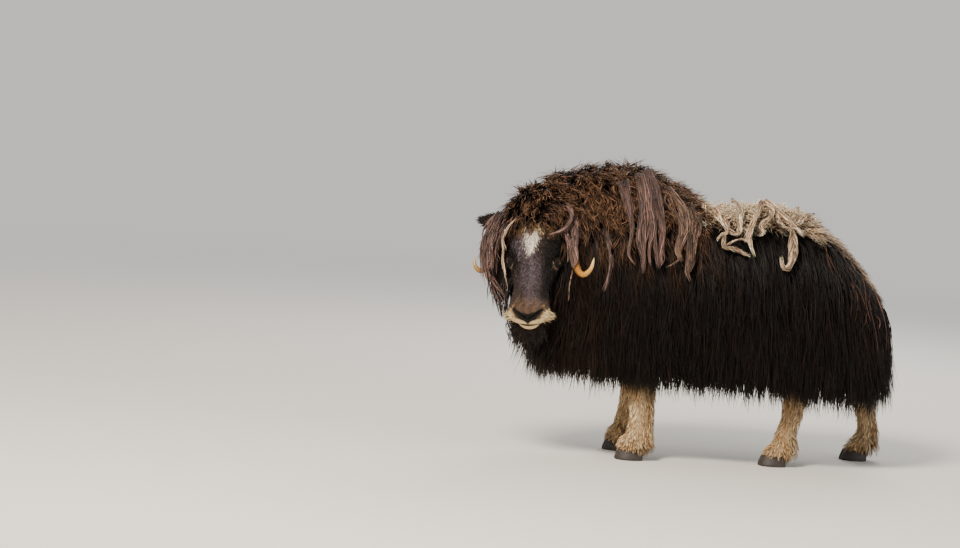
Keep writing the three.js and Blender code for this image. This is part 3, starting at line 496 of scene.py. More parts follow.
def segment_distance(points, a, b):
    edge = b - a
    t = np.clip(((points - a) @ edge) / (edge @ edge), 0, 1)
    return np.linalg.norm(points - a - t[..., None] * edge, axis=-1)


def nostril_distance(places):
    return np.min([segment_distance(places, a, b) for a, b in zip(NOSTRIL[:-1], NOSTRIL[1:])], axis=0)


def head_form():
    grid = head_grid()
    outward = grid_normals(grid)
    if (outward[60] * (grid[60] - grid[60].mean(0))).sum() < 0:
        outward = -outward
    rise = np.zeros(grid.shape[:2])
    for centre, radii, height in MIDLINE_FORMS:
        rise += bump(grid, centre, radii, height)
    mirror = np.array([-1, 1, 1])
    for centre, radii, height in PAIRED_FORMS:
        rise += bump(grid, centre, radii, height) + bump(grid * mirror, centre, radii, height)
    grid = grid + outward * rise[..., None]
    sunk = np.zeros(grid.shape[:2])
    for flipped in (grid, grid * mirror):
        sunk -= NOSTRIL_DEPTH * np.exp(-(nostril_distance(flipped) / NOSTRIL_WIDTH) ** 2)
    lip = np.abs(grid[..., 2] - mouth_height(np.abs(grid[..., 0])))
    mouth = smooth(0.375, 0.40, grid[..., 1])
    sunk -= MOUTH_DEPTH * mouth * np.exp(-(lip / MOUTH_WIDTH) ** 2)
    grid = grid + outward * sunk[..., None]
    # Round each eye the grid dips under the ball, where the lids take its place.
    for side in (1, -1):
        centre = np.array([side * EYE["side"], EYE["face"], EYE["front"]])
        way = unit(np.array([side * 0.8, -0.05, 0.6]))
        away = grid - centre
        depth = away @ way
        spread = np.linalg.norm(away - depth[..., None] * way, axis=-1)
        under = (spread < 0.025) & (depth > -EYE["radius"])
        grid = np.where(under[..., None], grid - way * (depth[..., None] + 0.012), grid)
    return loft(on_head(grid[..., 0], grid[..., 1], grid[..., 2]))


head_points, head_faces = head_form()
head_tree = BVHTree.FromPolygons([Vector(p) for p in head_points], head_faces.tolist())

# The lids' opening, how far they reach and lie off the ball, their thickness, and from which share of their
# reach they settle on the face.
LID = {
    "rings": 12, "around": 56, "half_length": 0.0155, "half_height": 0.0095, "reach": 0.046, "rim": 0.012,
    "gap": 0.0015, "thick": 0.003, "settles": 0.35,
}


def head_way(side, face, front):
    return unit(side * SIDE + face * FACE + front * FRONT)


def eye_centre(side):
    return on_head(side * EYE["side"], EYE["face"], EYE["front"])


def eye_axes(side):
    way = head_way(side * 0.8, -0.05, 0.6)
    long_way = head_way(side * 0.25, 1, 0)
    long_way = unit(long_way - way * (long_way @ way))
    return way, long_way, np.cross(way, long_way)


def lid_form(side):
    """The eyelids: a rolled rim on the ball, then a dome that runs out into the brow and cheek."""
    way, long_way, short_way = eye_axes(side)
    centre = eye_centre(side)
    angle = 2 * np.pi * np.arange(LID["around"]) / LID["around"]
    c, s = np.cos(angle), np.sin(angle)
    corner = 1 - 0.25 * np.abs(c) ** 6
    rim = np.stack([LID["half_length"] * c, LID["half_height"] * s * corner], 1)
    outer_way = unit(rim / [1.0, 0.8])
    rings = []
    for step in np.linspace(0, 1, LID["rings"]):
        reach_out = rim + outer_way * (LID["reach"] - LID["rim"]) * step ** 1.3
        flat = reach_out[:, :1] * long_way + reach_out[:, 1:] * short_way
        distance = np.linalg.norm(reach_out, axis=1)
        radius = EYE["radius"] + LID["gap"] + LID["thick"] * min(1, step * 6)
        dome = np.sqrt(np.maximum(radius ** 2 - np.minimum(distance, radius * 0.92) ** 2, 0))
        dome -= np.maximum(distance - radius * 0.92, 0) * 0.9
        point = centre + flat + dome[:, None] * way
        if step > LID["settles"]:
            share = smooth(LID["settles"], 1, step)
            for i, p in enumerate(point):
                near, normal, _, _ = head_tree.find_nearest(Vector(p))
                settled = np.array(near) - np.array(normal) * 0.001
                point[i] = p * (1 - share) + settled * share
        rings.append(point)
    inner = rings[0] - way * 0.006
    rings = np.array([inner] + rings)
    faces = strips(len(rings), LID["around"])
    return rings.reshape(-1, 3), faces if side < 0 else faces[:, ::-1]


# The legs: flesh and bone with knee, cannon, fetlock and two dew claws. They are short-haired below the
# skirt, and their tops run up into the trunk.
LEG_TOP, HOOF_HEIGHT, LEG_FUR = 0.54, 0.046, 0.004
LEG_STEPS, LEG_AROUND = 70, 44
LEAN_START = 0.15
# Over the height: how far the leg is behind its hoof, half its length and half its width.
FRONT_LEG = {
    "behind": profile((0.046, 0.008), (0.08, 0.024), (0.13, 0.038), (0.26, 0.036), (0.40, 0.022), (0.54, 0)),
    "long": profile(
        (0.046, 0.054), (0.085, 0.058), (0.12, 0.050), (0.20, 0.047), (0.30, 0.054), (0.40, 0.062),
        (0.54, 0.078),
    ),
    "wide": profile(
        (0.046, 0.054), (0.085, 0.052), (0.12, 0.044), (0.20, 0.042), (0.30, 0.048), (0.54, 0.066),
    ),
    "claws_behind": 0.062,
}
REAR_LEG = {
    "behind": profile(
        (0.046, 0.012), (0.08, 0.036), (0.13, 0.05), (0.26, 0.05), (0.40, 0.026), (0.54, -0.015),
    ),
    "long": profile(
        (0.046, 0.052), (0.085, 0.050), (0.12, 0.042), (0.20, 0.038), (0.30, 0.048), (0.40, 0.062),
        (0.54, 0.088),
    ),
    "wide": profile(
        (0.046, 0.052), (0.085, 0.048), (0.12, 0.040), (0.20, 0.037), (0.30, 0.042), (0.54, 0.070),
    ),
    "claws_behind": 0.072,
}
# Where each leg stands, and how far its top lies behind that place.
LEGS = {
    "leg_front_left": {"x": -0.300, "y": -0.160, "lean": 0.0, **FRONT_LEG},
    "leg_front_right": {"x": -0.258, "y": 0.160, "lean": 0.060, **FRONT_LEG},
    "leg_rear_left": {"x": 0.352, "y": -0.170, "lean": 0.090, **REAR_LEG},
    "leg_rear_right": {"x": 0.848, "y": 0.165, "lean": -0.095, **REAR_LEG},
}
leg_inward = profile((0.046, 0), (0.30, 0.004), (0.54, 0.022))


def leg_centre(leg, z):
    x = leg["x"] + leg["behind"](z) + leg["lean"] * np.maximum(0, z - LEAN_START) / (LEG_TOP - LEAN_START)
    return x, leg["y"] - np.sign(leg["y"]) * leg_inward(z)


def leg_form(leg):
    rings = []
    for z in np.concatenate([[HOOF_HEIGHT], np.linspace(HOOF_HEIGHT + 0.006, LEG_TOP, LEG_STEPS)]):
        centre = np.array([*leg_centre(leg, z), z])
        long, wide = leg["long"](z) - LEG_FUR, leg["wide"](z) - LEG_FUR
        rings.append(oval(centre, REARWARD, RIGHTWARD, long, wide, wide, LEG_AROUND))
    return loft(rings)


DEW_CLAW = {"aside": 0.02, "height": 0.085, "start": -0.014, "end": 0.024}
dew_claw_radius = profile((-0.014, 0.014), (0.008, 0.0125), (0.02, 0.010), (0.024, 0.004))


def dew_claw_forms(leg):
    forms = []
    for side in (-1, 1):
        x, y = leg["x"] + leg["claws_behind"], leg["y"] + side * DEW_CLAW["aside"]
        centre = np.array([x, y, DEW_CLAW["height"]])
        way = unit(np.array([0.55, side * 0.12, -0.8]))
        v = unit(np.cross(way, RIGHTWARD))
        rings = []
        for out in np.linspace(DEW_CLAW["start"], DEW_CLAW["end"], 10):
            radius = dew_claw_radius(out)
            rings.append(oval(centre + way * out, RIGHTWARD, v, radius * 0.85, radius, radius, 20, 2))
        forms.append(loft(rings))
    return forms


# Markings: each hair, and the skin under it, takes its colours from where its root lies on the body. The
# three colours of a marking are those of a hair's root, middle and tip.
COLOURS = {
    # The mane's pale golden tips are partly its own colour and partly painted light, where light catches the
    # top of the hump.
    "mane": ("#090503", "#1D110B", "#785840"),
    "saddle": ("#6B5343", "#B59A7A", "#E6D5B8"),
    "rump": ("#463629", "#8C7866", "#BCA893"),
    "flank": ("#050302", "#0B0604", "#180E09"),
    "skirt": ("#050302", "#0C0705", "#170E09"),
    "neck": ("#070403", "#110A06", "#25170F"),
    "hip": ("#070403", "#0F0906", "#20150D"),
    "leg": ("#7A5B3C", "#B48F63", "#E2CDA6"),
}
# A few hairs of the long coat are painted paler and redder along their middle and tip: painted glints, light
# caught on single strands.
STRAND_GLINTS = {"scale": 3.6, "share": 0.07, "tint": (1.25, 1.0, 0.8)}


def tone(hex_colour):
    """A colour to paint on points."""
    return np.array(linear(hex_colour)[:3])


def tones(hex_colours):
    return np.array([tone(colour) for colour in hex_colours])


def uneven(rng, spread, *shape):
    """Random factors round one."""
    return np.exp(rng.normal(0, spread, shape))


def body_regions(points):
    """How far each point of the trunk or neck belongs to each marking, as shares that sum to one."""
    x, y, z = points.T
    shares = {"flank": np.ones(len(x))}

    def lay(name, amount):
        for other in shares:
            shares[other] = shares[other] * (1 - amount)
        shares[name] = shares.get(name, 0) + amount

    below_top = trunk_top(x) - z + 0.008 * np.sin(x * 37) + 0.006 * np.sin(x * 83 + 1)
    lay("skirt", smooth(0.72, 0.55, z))
    lay("neck", smooth(-0.42, -0.52, x) * smooth(1.06, 0.94, z))
    lay("mane", smooth(0.02, -0.10, x + 0.3 * (1.1 - z)) * smooth(0.97, 1.08, z + 0.10 * np.abs(y)))
    lay("hip", smooth(0.52, 0.62, x) * smooth(0.60, 0.72, z) * smooth(0.02, 0.10, np.abs(y)))
    lay("rump", smooth(0.40, 0.48, x) * smooth(0.105, 0.075, np.abs(y + 0.035)) * smooth(0.74, 0.82, z))
    lay("saddle", smooth(-0.12, -0.03, x) * smooth(0.52, 0.42, x) * smooth(0.062, 0.040, below_top))
    return shares


def coat_colours(points, rng, spread=0.25):
    """Root, middle and tip colours for hairs rooted at these points."""
    colours = np.zeros((len(points), 3, 3))
    shares = body_regions(points)
    # Only the short matted hair is pale: no long hair beside it takes a mixed tone.
    pale = shares["saddle"] + shares["rump"]
    fade = smooth(0.20, 0.35, pale)
    others = (1 - pale * fade) / np.maximum(1 - pale, 0.01)
    for name, share in shares.items():
        share = share * (fade if name in ("saddle", "rump") else others)
        colours += share[:, None, None] * tones(COLOURS[name])
    count = len(points)
    brightness = uneven(rng, spread, count, 1, 1)
    warmth = 1 + rng.normal(0, spread * 0.25, (count, 1, 1)) * np.array([1, 0, -1])
    dark = 1 - smooth(0.02, 0.12, colours[:, 1].mean(1))
    mane = np.clip(shares["mane"], 0, 1)
    # Painted glints: a few dark hairs outside the mane are made paler and redder.
    glinting = (rng.random(count) < STRAND_GLINTS["share"]) * dark * rng.random(count)
    glinting = glinting * (1 - mane)
    lift = np.repeat(1 + (STRAND_GLINTS["scale"] - 1) * glinting[:, None, None] * np.array(STRAND_GLINTS["tint"]), 3, 1)
    lift[:, 0] = 1
    # The mane's tips vary most, so that pale ones stand out of dark ones. Their paleness is partly painted
    # light on the top of the hump.
    tips = np.exp(rng.normal(-0.1, 0.75, count) * mane * (spread > 0.1))
    lift[:, 2] *= np.clip(tips, 0.25, 2.2)[:, None]
    return colours * brightness * warmth * lift


# An unwrap of the skin's own shape: trunk and neck as a tube about the spine, the head as a tube about the
# face, each leg as a tube of its own.
def body_unwrap(points):
    x, y, z = points.T
    angle = np.arctan2(y - np.interp(x, [-0.9, -0.52], [-0.16, 0]), z - 0.72)
    return np.stack([0.03 + 0.60 * (x + 1.0) / 2.0, 0.5 + 0.46 * angle / np.pi], 1)


def head_unwrap(points):
    side, face, front = head_place(points)
    angle = np.arctan2(side, front + 0.08)
    return np.stack([0.67 + 0.30 * np.clip(face + 0.15, 0, 0.65) / 0.65, 0.76 + 0.2 * angle / np.pi], 1)


def leg_unwrap(points, number):
    leg = list(LEGS.values())[number]
    x, y, z = points.T
    centre_x, centre_y = leg_centre(leg, np.clip(z, HOOF_HEIGHT, LEG_TOP))
    angle = np.arctan2(y - centre_y, x - centre_x)
    return np.stack([0.70 + 0.07 * number + 0.028 * angle / np.pi, 0.04 + 0.44 * z / LEG_TOP], 1)


def add_unwrap(target_object, coordinates):
    """Gives each vertex its place in the unwrap."""
    mesh = target_object.data
    layer = mesh.uv_layers.new(name="OFBake")
    corner = np.empty(len(mesh.loops), np.int32)
    mesh.loops.foreach_get("vertex_index", corner)
    layer.data.foreach_set("uv", coordinates[corner].astype(np.float32).ravel())


def add_colours(target_object, colours):
    """Paints a colour on each vertex."""
    layer = target_object.data.color_attributes.new("hair colour", "FLOAT_COLOR", "POINT")
    full = np.ones((len(colours), 4), np.float32)
    full[:, :3] = np.clip(colours, 0, 1)
    layer.data.foreach_set("color", full.ravel())


# Face colours: a white star and a tan band under the forelock, near black eye hollows, a tan nose bridge,
# cream lips and a black line through the nostrils, all on speckled grey brown. The colour named shade is
# painted shade over the sides of the head behind the face and over the face's left half.
FACE_COLOURS = {
    "fur": "#2A211E", "shade": "#0C0806", "star": "#CBBFB0", "band": "#6E5339", "socket": "#0A0705",
    "bridge": "#6C5036", "lip": "#C8B084", "nostril": "#080504", "mouth": "#0D0807", "crown": "#140C08",
    "ring": "#6E5C4E", "chin": "#4A382B", "grey": "#4C4349", "cream": "#B49C78",
}


def face_colours(points, rng, spread=0.22):
    side, face, front = head_place(points)
    count = len(points)
    ragged = rng.normal(0, 0.0045, (2, count)) * (spread > 0.2)
    side, face = side + ragged[0], face + ragged[1]
    colour = np.tile(tone(FACE_COLOURS["fur"]), (count, 1))
    flutter = 0.012 * np.sin(side * 160 + face * 70) + 0.008 * np.sin(side * 330 - face * 210)

    def lay(name, amount):
        nonlocal colour
        amount = np.clip(amount, 0, 1)[:, None]
        colour = colour * (1 - amount) + tone(FACE_COLOURS[name]) * amount

    def spot(centre, radii, edge=0.4):
        away = np.sqrt((((np.stack([side, face + flutter], 1) - centre) / radii) ** 2).sum(1))
        return smooth(1 + edge, 1 - edge, away)

    lay("grey", 0.7 * spot((-0.050, 0.15), (0.045, 0.055)) + 0.5 * spot((0.0, 0.28), (0.045, 0.09)))
    lay("grey", 0.35 * spot((0.02, 0.40), (0.04, 0.03)))
    # Painted shade: the sides of the head behind the face and the face's left half are darkened.
    lay("shade", 0.95 * smooth(-0.040, -0.09, front) * smooth(0.44, 0.40, face))
    lay("shade", 0.92 * smooth(0.030, 0.062, side + 0.3 * flutter) * smooth(0.43, 0.38, face)
        * smooth(0.07, 0.11, face))
    ragged_face = face + flutter
    lay("band", 0.75 * smooth(0.02, 0.035, ragged_face) * smooth(0.10, 0.08, ragged_face)
        * smooth(0.10, 0.06, np.abs(side)))
    lay("crown", smooth(0.040, 0.015, ragged_face))
    lay("star", 0.95 * spot((-0.008, 0.114), (0.029, 0.026), 0.55))
    lay("star", 0.80 * spot((-0.010, 0.148), (0.019, 0.040), 0.6))
    lay("cream", 0.8 * spot((0.022, 0.066), (0.026, 0.016)))
    lay("cream", 0.6 * spot((-0.03, 0.060), (0.014, 0.018)))
    mixed = np.where(rng.random(count) < 0.5, 1.0, 0.12) if spread > 0.2 else 0.4
    streaks = 0.65 + 0.22 * np.sin(side * 190 + 3 * np.sin(face * 60)) + 0.2 * np.sin(side * 410 + face * 150)
    lay("bridge", 0.95 * mixed * streaks * smooth(0.385, 0.42, ragged_face) * smooth(-0.055, -0.03, front))
    lay("lip", smooth(0.420, 0.450, face + flutter * 0.5) * smooth(-0.034, -0.044, front)
        * smooth(-0.085, -0.075, front))
    lay("lip", 0.9 * smooth(0.425, 0.448, ragged_face) * smooth(0.050, 0.066, np.abs(side))
        * smooth(-0.018, -0.036, front) * smooth(-0.095, -0.085, front))
    under = smooth(-0.068, -0.074, front)
    lay("chin", smooth(0.40, 0.44, face) * under)
    lay("lip", smooth(0.455, 0.470, face) * under * smooth(0.056, 0.040, np.abs(side + 0.004))
        * smooth(-0.125, -0.112, front))
    # The eye hollows are painted near black, partly as painted shade in the deep sockets.
    socket = [EYE["side"], EYE["face"] - 0.006, EYE["front"] + 0.006]
    for way in (1, -1):
        flipped = np.stack([side * way, face, front], 1)
        from_socket = (flipped - socket) / [0.052, 0.066, 0.058]
        lay("socket", 0.98 * smooth(1.3, 0.75, np.linalg.norm(from_socket, axis=1)))
        ring = np.abs(np.linalg.norm(flipped - [EYE["side"], EYE["face"], EYE["front"]], axis=1) - 0.032)
        lay("ring", 0.7 * smooth(0.003, 0.001, ring) * smooth(0.200, 0.215, face))
        for a, b, wide in zip(NOSTRIL[:-1], NOSTRIL[1:], (0.006, 0.008, 0.011)):
            slit = segment_distance(flipped[:, :2], a[:2], b[:2])
            lay("nostril", smooth(wide * 1.3, wide * 0.85, slit) * smooth(-0.066, -0.056, front))
    line = np.abs(front - mouth_height(np.abs(side)))
    lay("mouth", smooth(0.0075, 0.0045, line) * smooth(0.38, 0.41, face))
    return colour * uneven(rng, spread, count, 1)


def leg_colours(points, rng, spread=0.12):
    """Golden tan in streaks, darker round the fetlock and up under the coat. Painted light and shade make
    each leg paler at its front and darker behind it.
    """
    x, y, z = points.T
    dark, middle, pale = tones(COLOURS["leg"])
    high = smooth(0.24, 0.42, z)[:, None]
    streak = np.clip(0.5 + 0.5 * np.sin(x * 150 + y * 120 + z * 22) * np.sin(z * 31 + x * 60), 0, 1)[:, None]
    base = middle * (1 - streak * 0.6) + pale * streak * 0.6
    base = base * (1 - high) + (dark * 0.7) * high
    # Painted light and shade: the front of each leg is painted paler and its back darker.
    for leg in LEGS.values():
        centre_x, centre_y = leg_centre(leg, z)
        close = smooth(0.16, 0.12, np.hypot(x - centre_x, y - centre_y))
        shade = np.interp((x - centre_x) / 0.06, [-1, 0, 1], [1.25, 0.95, 0.55])
        base = base * (1 + (shade - 1) * close)[:, None]
    under_coat = smooth(0.30, 0.37, z)[:, None]
    base = base * (1 - under_coat) + tone(COLOURS["skirt"][1]) * under_coat
    fetlock = (smooth(0.075, 0.055, z) * 0.4)[:, None]
    base = base * (1 - fetlock) + dark * fetlock
    return base * uneven(rng, spread, len(points), 1)


DEW_CLAW_HORN = "#1F1814"


def claw_colours(points, rng):
    return tone(DEW_CLAW_HORN) * uneven(rng, 0.15, len(points), 1)


# The skin as one piece: body, head, lids and legs, as it would be drawn over a mannequin. It carries the
# root colours of the hair that grows on it.
skin_rng = np.random.default_rng(20817)
skin_forms, skin_colours, skin_unwraps = [], [], []


def add_skin(form, colours, unwrap):
    skin_forms.append(form)
    skin_colours.append(colours)
    skin_unwraps.append(unwrap)


add_skin(body_form, coat_colours(body_form[0], skin_rng, 0.05)[:, 0], body_unwrap(body_form[0]))
for form in ((head_points, head_faces), lid_form(1), lid_form(-1)):
    add_skin(form, face_colours(form[0], skin_rng, 0.1), head_unwrap(form[0]))
for number, leg in enumerate(LEGS.values()):
    form = leg_form(leg)
    add_skin(form, leg_colours(form[0], skin_rng) * 0.6, leg_unwrap(form[0], number))
    for form in dew_claw_forms(leg):
        add_skin(form, claw_colours(form[0], skin_rng), leg_unwrap(form[0], number))
skin_points, skin_faces = joined(*skin_forms)
skin = mesh_object("muskox_skin", skin_points + FLOOR_SHIFT, skin_faces)
add_colours(skin, np.concatenate(skin_colours))
add_unwrap(skin, np.concatenate(skin_unwraps))
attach(skin, "root")
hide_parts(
    "head", "neck", "forequarters", "barrel", "hindquarters", "tail",
    "leg_front_left", "leg_front_right", "leg_rear_left", "leg_rear_right",
)


def shaded_colour(made, noise, darkest, palest):
    """The colour painted on the mesh, made darker and paler by a noise."""
    painted = add_node(made, "ShaderNodeAttribute", {"attribute_name": "hair colour"})
    shade = add_node(made, "ShaderNodeMapRange", {"To Min": darkest, "To Max": palest},
                     Value=noise.outputs["Fac"])
    shaded = add_node(made, "ShaderNodeVectorMath", {"operation": "SCALE"},
                      Vector=painted.outputs["Color"], Scale=shade.outputs["Result"])
    return shaded.outputs["Vector"]


# Across and along a tuft's strip of the unwrap, which is 0.003 of it wide: about three strands to a tuft.
STRANDS_ON_UNWRAP = (1100, 260, 1)
# On skin the noise starts this many strands wide, and its finer steps reach one strand's width.
STRANDS_IN_NOISE = 4


def hair_material(name, darkest, palest, roughness, specular, sheen, bump_height, strand=None):
    """Hair: its own colour, broken up by a noise as wide as one strand, and a bump of the same size.
    Without a strand's width in metres, the noise runs along each tuft's own strip of the unwrap."""
    made = new_material(name)
    if strand:
        place = add_node(made, "ShaderNodeTexCoord")
        strands = add_node(made, "ShaderNodeTexNoise", {
            "Scale": 1 / strand / STRANDS_IN_NOISE,
            "Detail": 4.0,
        }, Vector=place.outputs["Object"])
    else:
        place = add_node(made, "ShaderNodeUVMap", {"uv_map": "OFBake"})
        stretched = add_node(made, "ShaderNodeVectorMath", {"operation": "MULTIPLY", 1: STRANDS_ON_UNWRAP},
                             Vector=place.outputs["UV"])
        strands = add_node(made, "ShaderNodeTexNoise", {"Scale": 1.0, "Detail": 3.0},
                           Vector=stretched.outputs["Vector"])
    bump = add_node(made, "ShaderNodeBump", {"Strength": 0.5, "Distance": bump_height},
                    Height=strands.outputs["Fac"])
    finish_material(made, add_node(made, "ShaderNodeBsdfPrincipled", {
        "Roughness": roughness,
        "Specular IOR Level": specular,
        "Sheen Weight": sheen,
        "Sheen Roughness": 0.5,
    }, Base_Color=shaded_colour(made, strands, darkest, palest), Normal=bump.outputs["Normal"]))
    return made


# Short flat fur is matt and speckled. A real hair is far too fine to show, so the speckle is drawn as coarse
# as about two millimetres.
short_fur = hair_material(
    "short flat fur", darkest=0.55, palest=1.45, roughness=0.85, specular=0.2, sheen=0.02, bump_height=0.002,
    strand=0.0022,
)
skin.data.materials.append(short_fur)


# The coat: long guard hair that grows out of the woolly core and hangs in locks. It is built as thin tapering
# tufts: guides are grown over the skin first, and each lock's tufts then gather towards their guide's tip.
body_tree = BVHTree.FromPolygons([Vector(p) for p in body_form[0]], body_form[1].tolist())


def scatter(form, count, rng):
    """Random points and normals all over a form, evenly by area."""
    points, faces = form
    a, b, c = points[faces[:, 0]], points[faces[:, 1]], points[faces[:, 2]]
    cross = np.cross(b - a, c - a)
    area = np.linalg.norm(cross, axis=1)
    chosen = rng.choice(len(faces), count, p=area / area.sum())
    r1, r2 = np.sqrt(rng.random(count)), rng.random(count)
    share_a, share_b, share_c = (share[:, None] for share in (1 - r1, r1 * (1 - r2), r1 * r2))
    spots = share_a * a[chosen] + share_b * b[chosen] + share_c * c[chosen]
    return spots, unit(cross[chosen])


def thinned(points, spacing):
    """Indices of points that keep a distance from each other; spacing is one value for each point."""
    cell = spacing.max()
    kept, cells = [], {}
    for i, (point, gap) in enumerate(zip(points, spacing)):
        key = tuple((point // cell).astype(int))
        close = [j for dx in (-1, 0, 1) for dy in (-1, 0, 1) for dz in (-1, 0, 1)
                 for j in cells.get((key[0] + dx, key[1] + dy, key[2] + dz), ())]
        if all(((points[j] - point) ** 2).sum() > gap * gap for j in close):
            kept.append(i)
            cells.setdefault(key, []).append(i)
    return np.array(kept)


# How the coat lies in each region: length, lift at the tip, stand at the root, curl, how far back the hair
# sweeps, how its direction wanders from lock to lock, how each tuft strays from its lock, how much a lock
# gathers at its tip, the tuft's width, the distance between locks and the tufts in one.
LIE = {
    "mane": {"length": 0.125, "lift": 0.074, "stand": 0.62, "curl": 0.011, "sweep": 0.25, "wander": 0.55,
             "stray": 0.014, "gather": 0.25, "width": 0.0043, "spacing": 0.0185, "each": 17},
    "saddle": {"length": 0.075, "lift": 0.055, "stand": 0.60, "curl": 0.013, "sweep": 0.40, "wander": 1.1,
               "stray": 0.012, "gather": 0.30, "width": 0.0048, "spacing": 0.021, "each": 17},
    "rump": {"length": 0.10, "lift": 0.034, "stand": 0.15, "curl": 0.006, "sweep": 1.30, "wander": 0.2,
             "stray": 0.008, "gather": 0.3, "width": 0.0048, "spacing": 0.023, "each": 14},
    "hip": {"length": 0.34, "lift": 0.040, "stand": 0.12, "curl": 0.008, "sweep": 0.26, "wander": 0.10,
            "stray": 0.010, "gather": 0.25, "width": 0.0054, "spacing": 0.023, "each": 12},
    "flank": {"length": 0.36, "lift": 0.054, "stand": 0.16, "curl": 0.009, "sweep": 0.10, "wander": 0.12,
              "stray": 0.012, "gather": 0.20, "width": 0.0054, "spacing": 0.023, "each": 12},
    "skirt": {"length": 0.38, "lift": 0.042, "stand": 0.15, "curl": 0.010, "sweep": 0.06, "wander": 0.10,
              "stray": 0.012, "gather": 0.35, "width": 0.0056, "spacing": 0.024, "each": 12},
    "neck": {"length": 0.30, "lift": 0.055, "stand": 0.25, "curl": 0.010, "sweep": 0.03, "wander": 0.14,
             "stray": 0.014, "gather": 0.30, "width": 0.0054, "spacing": 0.023, "each": 12},
}


def lie_of(points, key):
    return sum(share * LIE[name][key] for name, share in body_regions(points).items())


# The height of the skirt's hem along the body.
hem_height = profile(
    (-0.80, 0.33), (-0.60, 0.29), (-0.30, 0.285), (0.0, 0.275), (0.35, 0.255), (0.50, 0.225), (0.75, 0.225),
    (0.90, 0.24),
)
GUIDE_STEPS = 6
ROOT_DEPTH = 0.006
# How much of its heading a guide keeps at each step, and from how many times its lift it is drawn down again.
KEPT_HEADING = 0.35
SLACK = 1.4


def grow(tree, roots, normals, length, lift, stand, pull, wander, rng):
    """Guide paths: each leaves its root at a slant, follows the skin as it is pulled, then hangs free."""
    lift, stand, wander = (np.broadcast_to(values, len(roots)) for values in (lift, stand, wander))
    steps = GUIDE_STEPS
    paths = np.zeros((len(roots), steps + 1, 3))
    facings = np.zeros_like(paths)
    for i, (root, normal) in enumerate(zip(roots, normals)):
        paths[i, 0] = root - normal * ROOT_DEPTH
        facings[i, 0] = normal
        point = root.copy()
        surface_normal = normal
        heading = None
        stride = length[i] / steps
        drift = rng.normal(0, wander[i], 2)
        for k in range(1, steps + 1):
            flat = max(surface_normal[2], 0)
            down = np.array([pull[i, 0] + drift[0], pull[i, 1] * flat + drift[1] * flat, pull[i, 2]])
            if surface_normal[2] > 0:
                down = down - surface_normal * (down @ surface_normal)
            down /= max(np.linalg.norm(down), 1e-6)
            if heading is None:
                heading = down * (1 - stand[i]) + normal * stand[i]
            else:
                heading = heading * KEPT_HEADING + down * (1 - KEPT_HEADING)
            heading /= np.linalg.norm(heading)
            point = point + heading * stride
            near, near_normal, _, _ = tree.find_nearest(Vector(point))
            near, near_normal = np.array(near), np.array(near_normal)
            above = (point - near) @ near_normal
            wanted = lift[i] * (0.35 + 0.65 * k / steps)
            if above < wanted:
                point = near + near_normal * wanted
            elif surface_normal[2] > 0.05 and above > wanted * SLACK:
                point = point - near_normal * (above - wanted * SLACK) * 0.6
            surface_normal = near_normal
            paths[i, k] = point
            facings[i, k] = near_normal
    return paths, facings


def restepped(paths, rings):
    """The same paths with another number of steps."""
    steps = paths.shape[1] - 1
    t = np.linspace(0, steps, rings + 1)
    low = np.minimum(t.astype(int), steps - 1)
    share = (t - low)[None, :, None]
    return paths[:, low] * (1 - share) + paths[:, low + 1] * share


# The size of a tuft's patch in the unwrap.
TUFT_PATCH = 0.003


def tufts(name, paths, facings, colours, unwrap, width, thick, rng, twist=0.6):
    """One joined mesh of closed three-sided tufts along paths (n, rings + 1, 3)."""
    count, rings = paths.shape[0], paths.shape[1] - 1
    ahead = unit(np.gradient(paths, axis=1))
    turn = rng.normal(0, twist, (count, 1, 1))
    across_way = unit(np.cross(ahead, facings))
    out_way = np.cross(across_way, ahead)
    across_turned = across_way * np.cos(turn) + out_way * np.sin(turn)
    out_turned = out_way * np.cos(turn) - across_way * np.sin(turn)
    t = np.linspace(0, 1, rings + 1)
    swell = np.where(t < 0.3, 0.65 + 0.35 * t / 0.3, np.clip((1 - t) / 0.7, 0, 1) ** 0.6)
    half = (width[:, None] / 2 * swell)[..., None]
    deep = (thick[:, None] * (1 - 0.6 * t) * np.clip(swell * 1.3, 0, 1))[..., None]
    corners = np.stack([
        paths + across_turned * half - out_turned * deep * 0.3,
        paths - across_turned * half - out_turned * deep * 0.3,
        paths + out_turned * deep * 0.7,
    ], 2)[:, :rings]
    points = np.concatenate([corners.reshape(count, -1, 3), paths[:, -1:]], 1)
    per = rings * 3 + 1
    faces = [[0, 2, 1]]
    for r in range(rings - 1):
        for j in range(3):
            a, b = 3 * r + j, 3 * r + (j + 1) % 3
            faces += [[a, b, b + 3], [a, b + 3, a + 3]]
    last = 3 * (rings - 1)
    faces += [[last + j, last + (j + 1) % 3, per - 1] for j in range(3)]
    all_faces = (np.array(faces)[None] + per * np.arange(count)[:, None, None]).reshape(-1, 3)
    made = mesh_object(name, points.reshape(-1, 3) + FLOOR_SHIFT, all_faces)
    along = np.append(np.repeat(t[:rings], 3), 1.0)
    first, middle, last_colour = colours[:, 0, None], colours[:, 1, None], colours[:, 2, None]
    low = np.clip(along / 0.5, 0, 1)[None, :, None]
    high = np.clip((along - 0.5) / 0.5, 0, 1)[None, :, None]
    shade = first * (1 - low) + middle * low
    add_colours(made, (shade * (1 - high) + last_colour * high).reshape(-1, 3))
    aside = np.append(np.tile([0.5, -0.5, 0.0], rings), 0.0)
    local = np.stack([aside * TUFT_PATCH, (along - 0.5) * TUFT_PATCH], 1)
    add_unwrap(made, (unwrap[:, None] + local[None]).reshape(-1, 2))
    return made


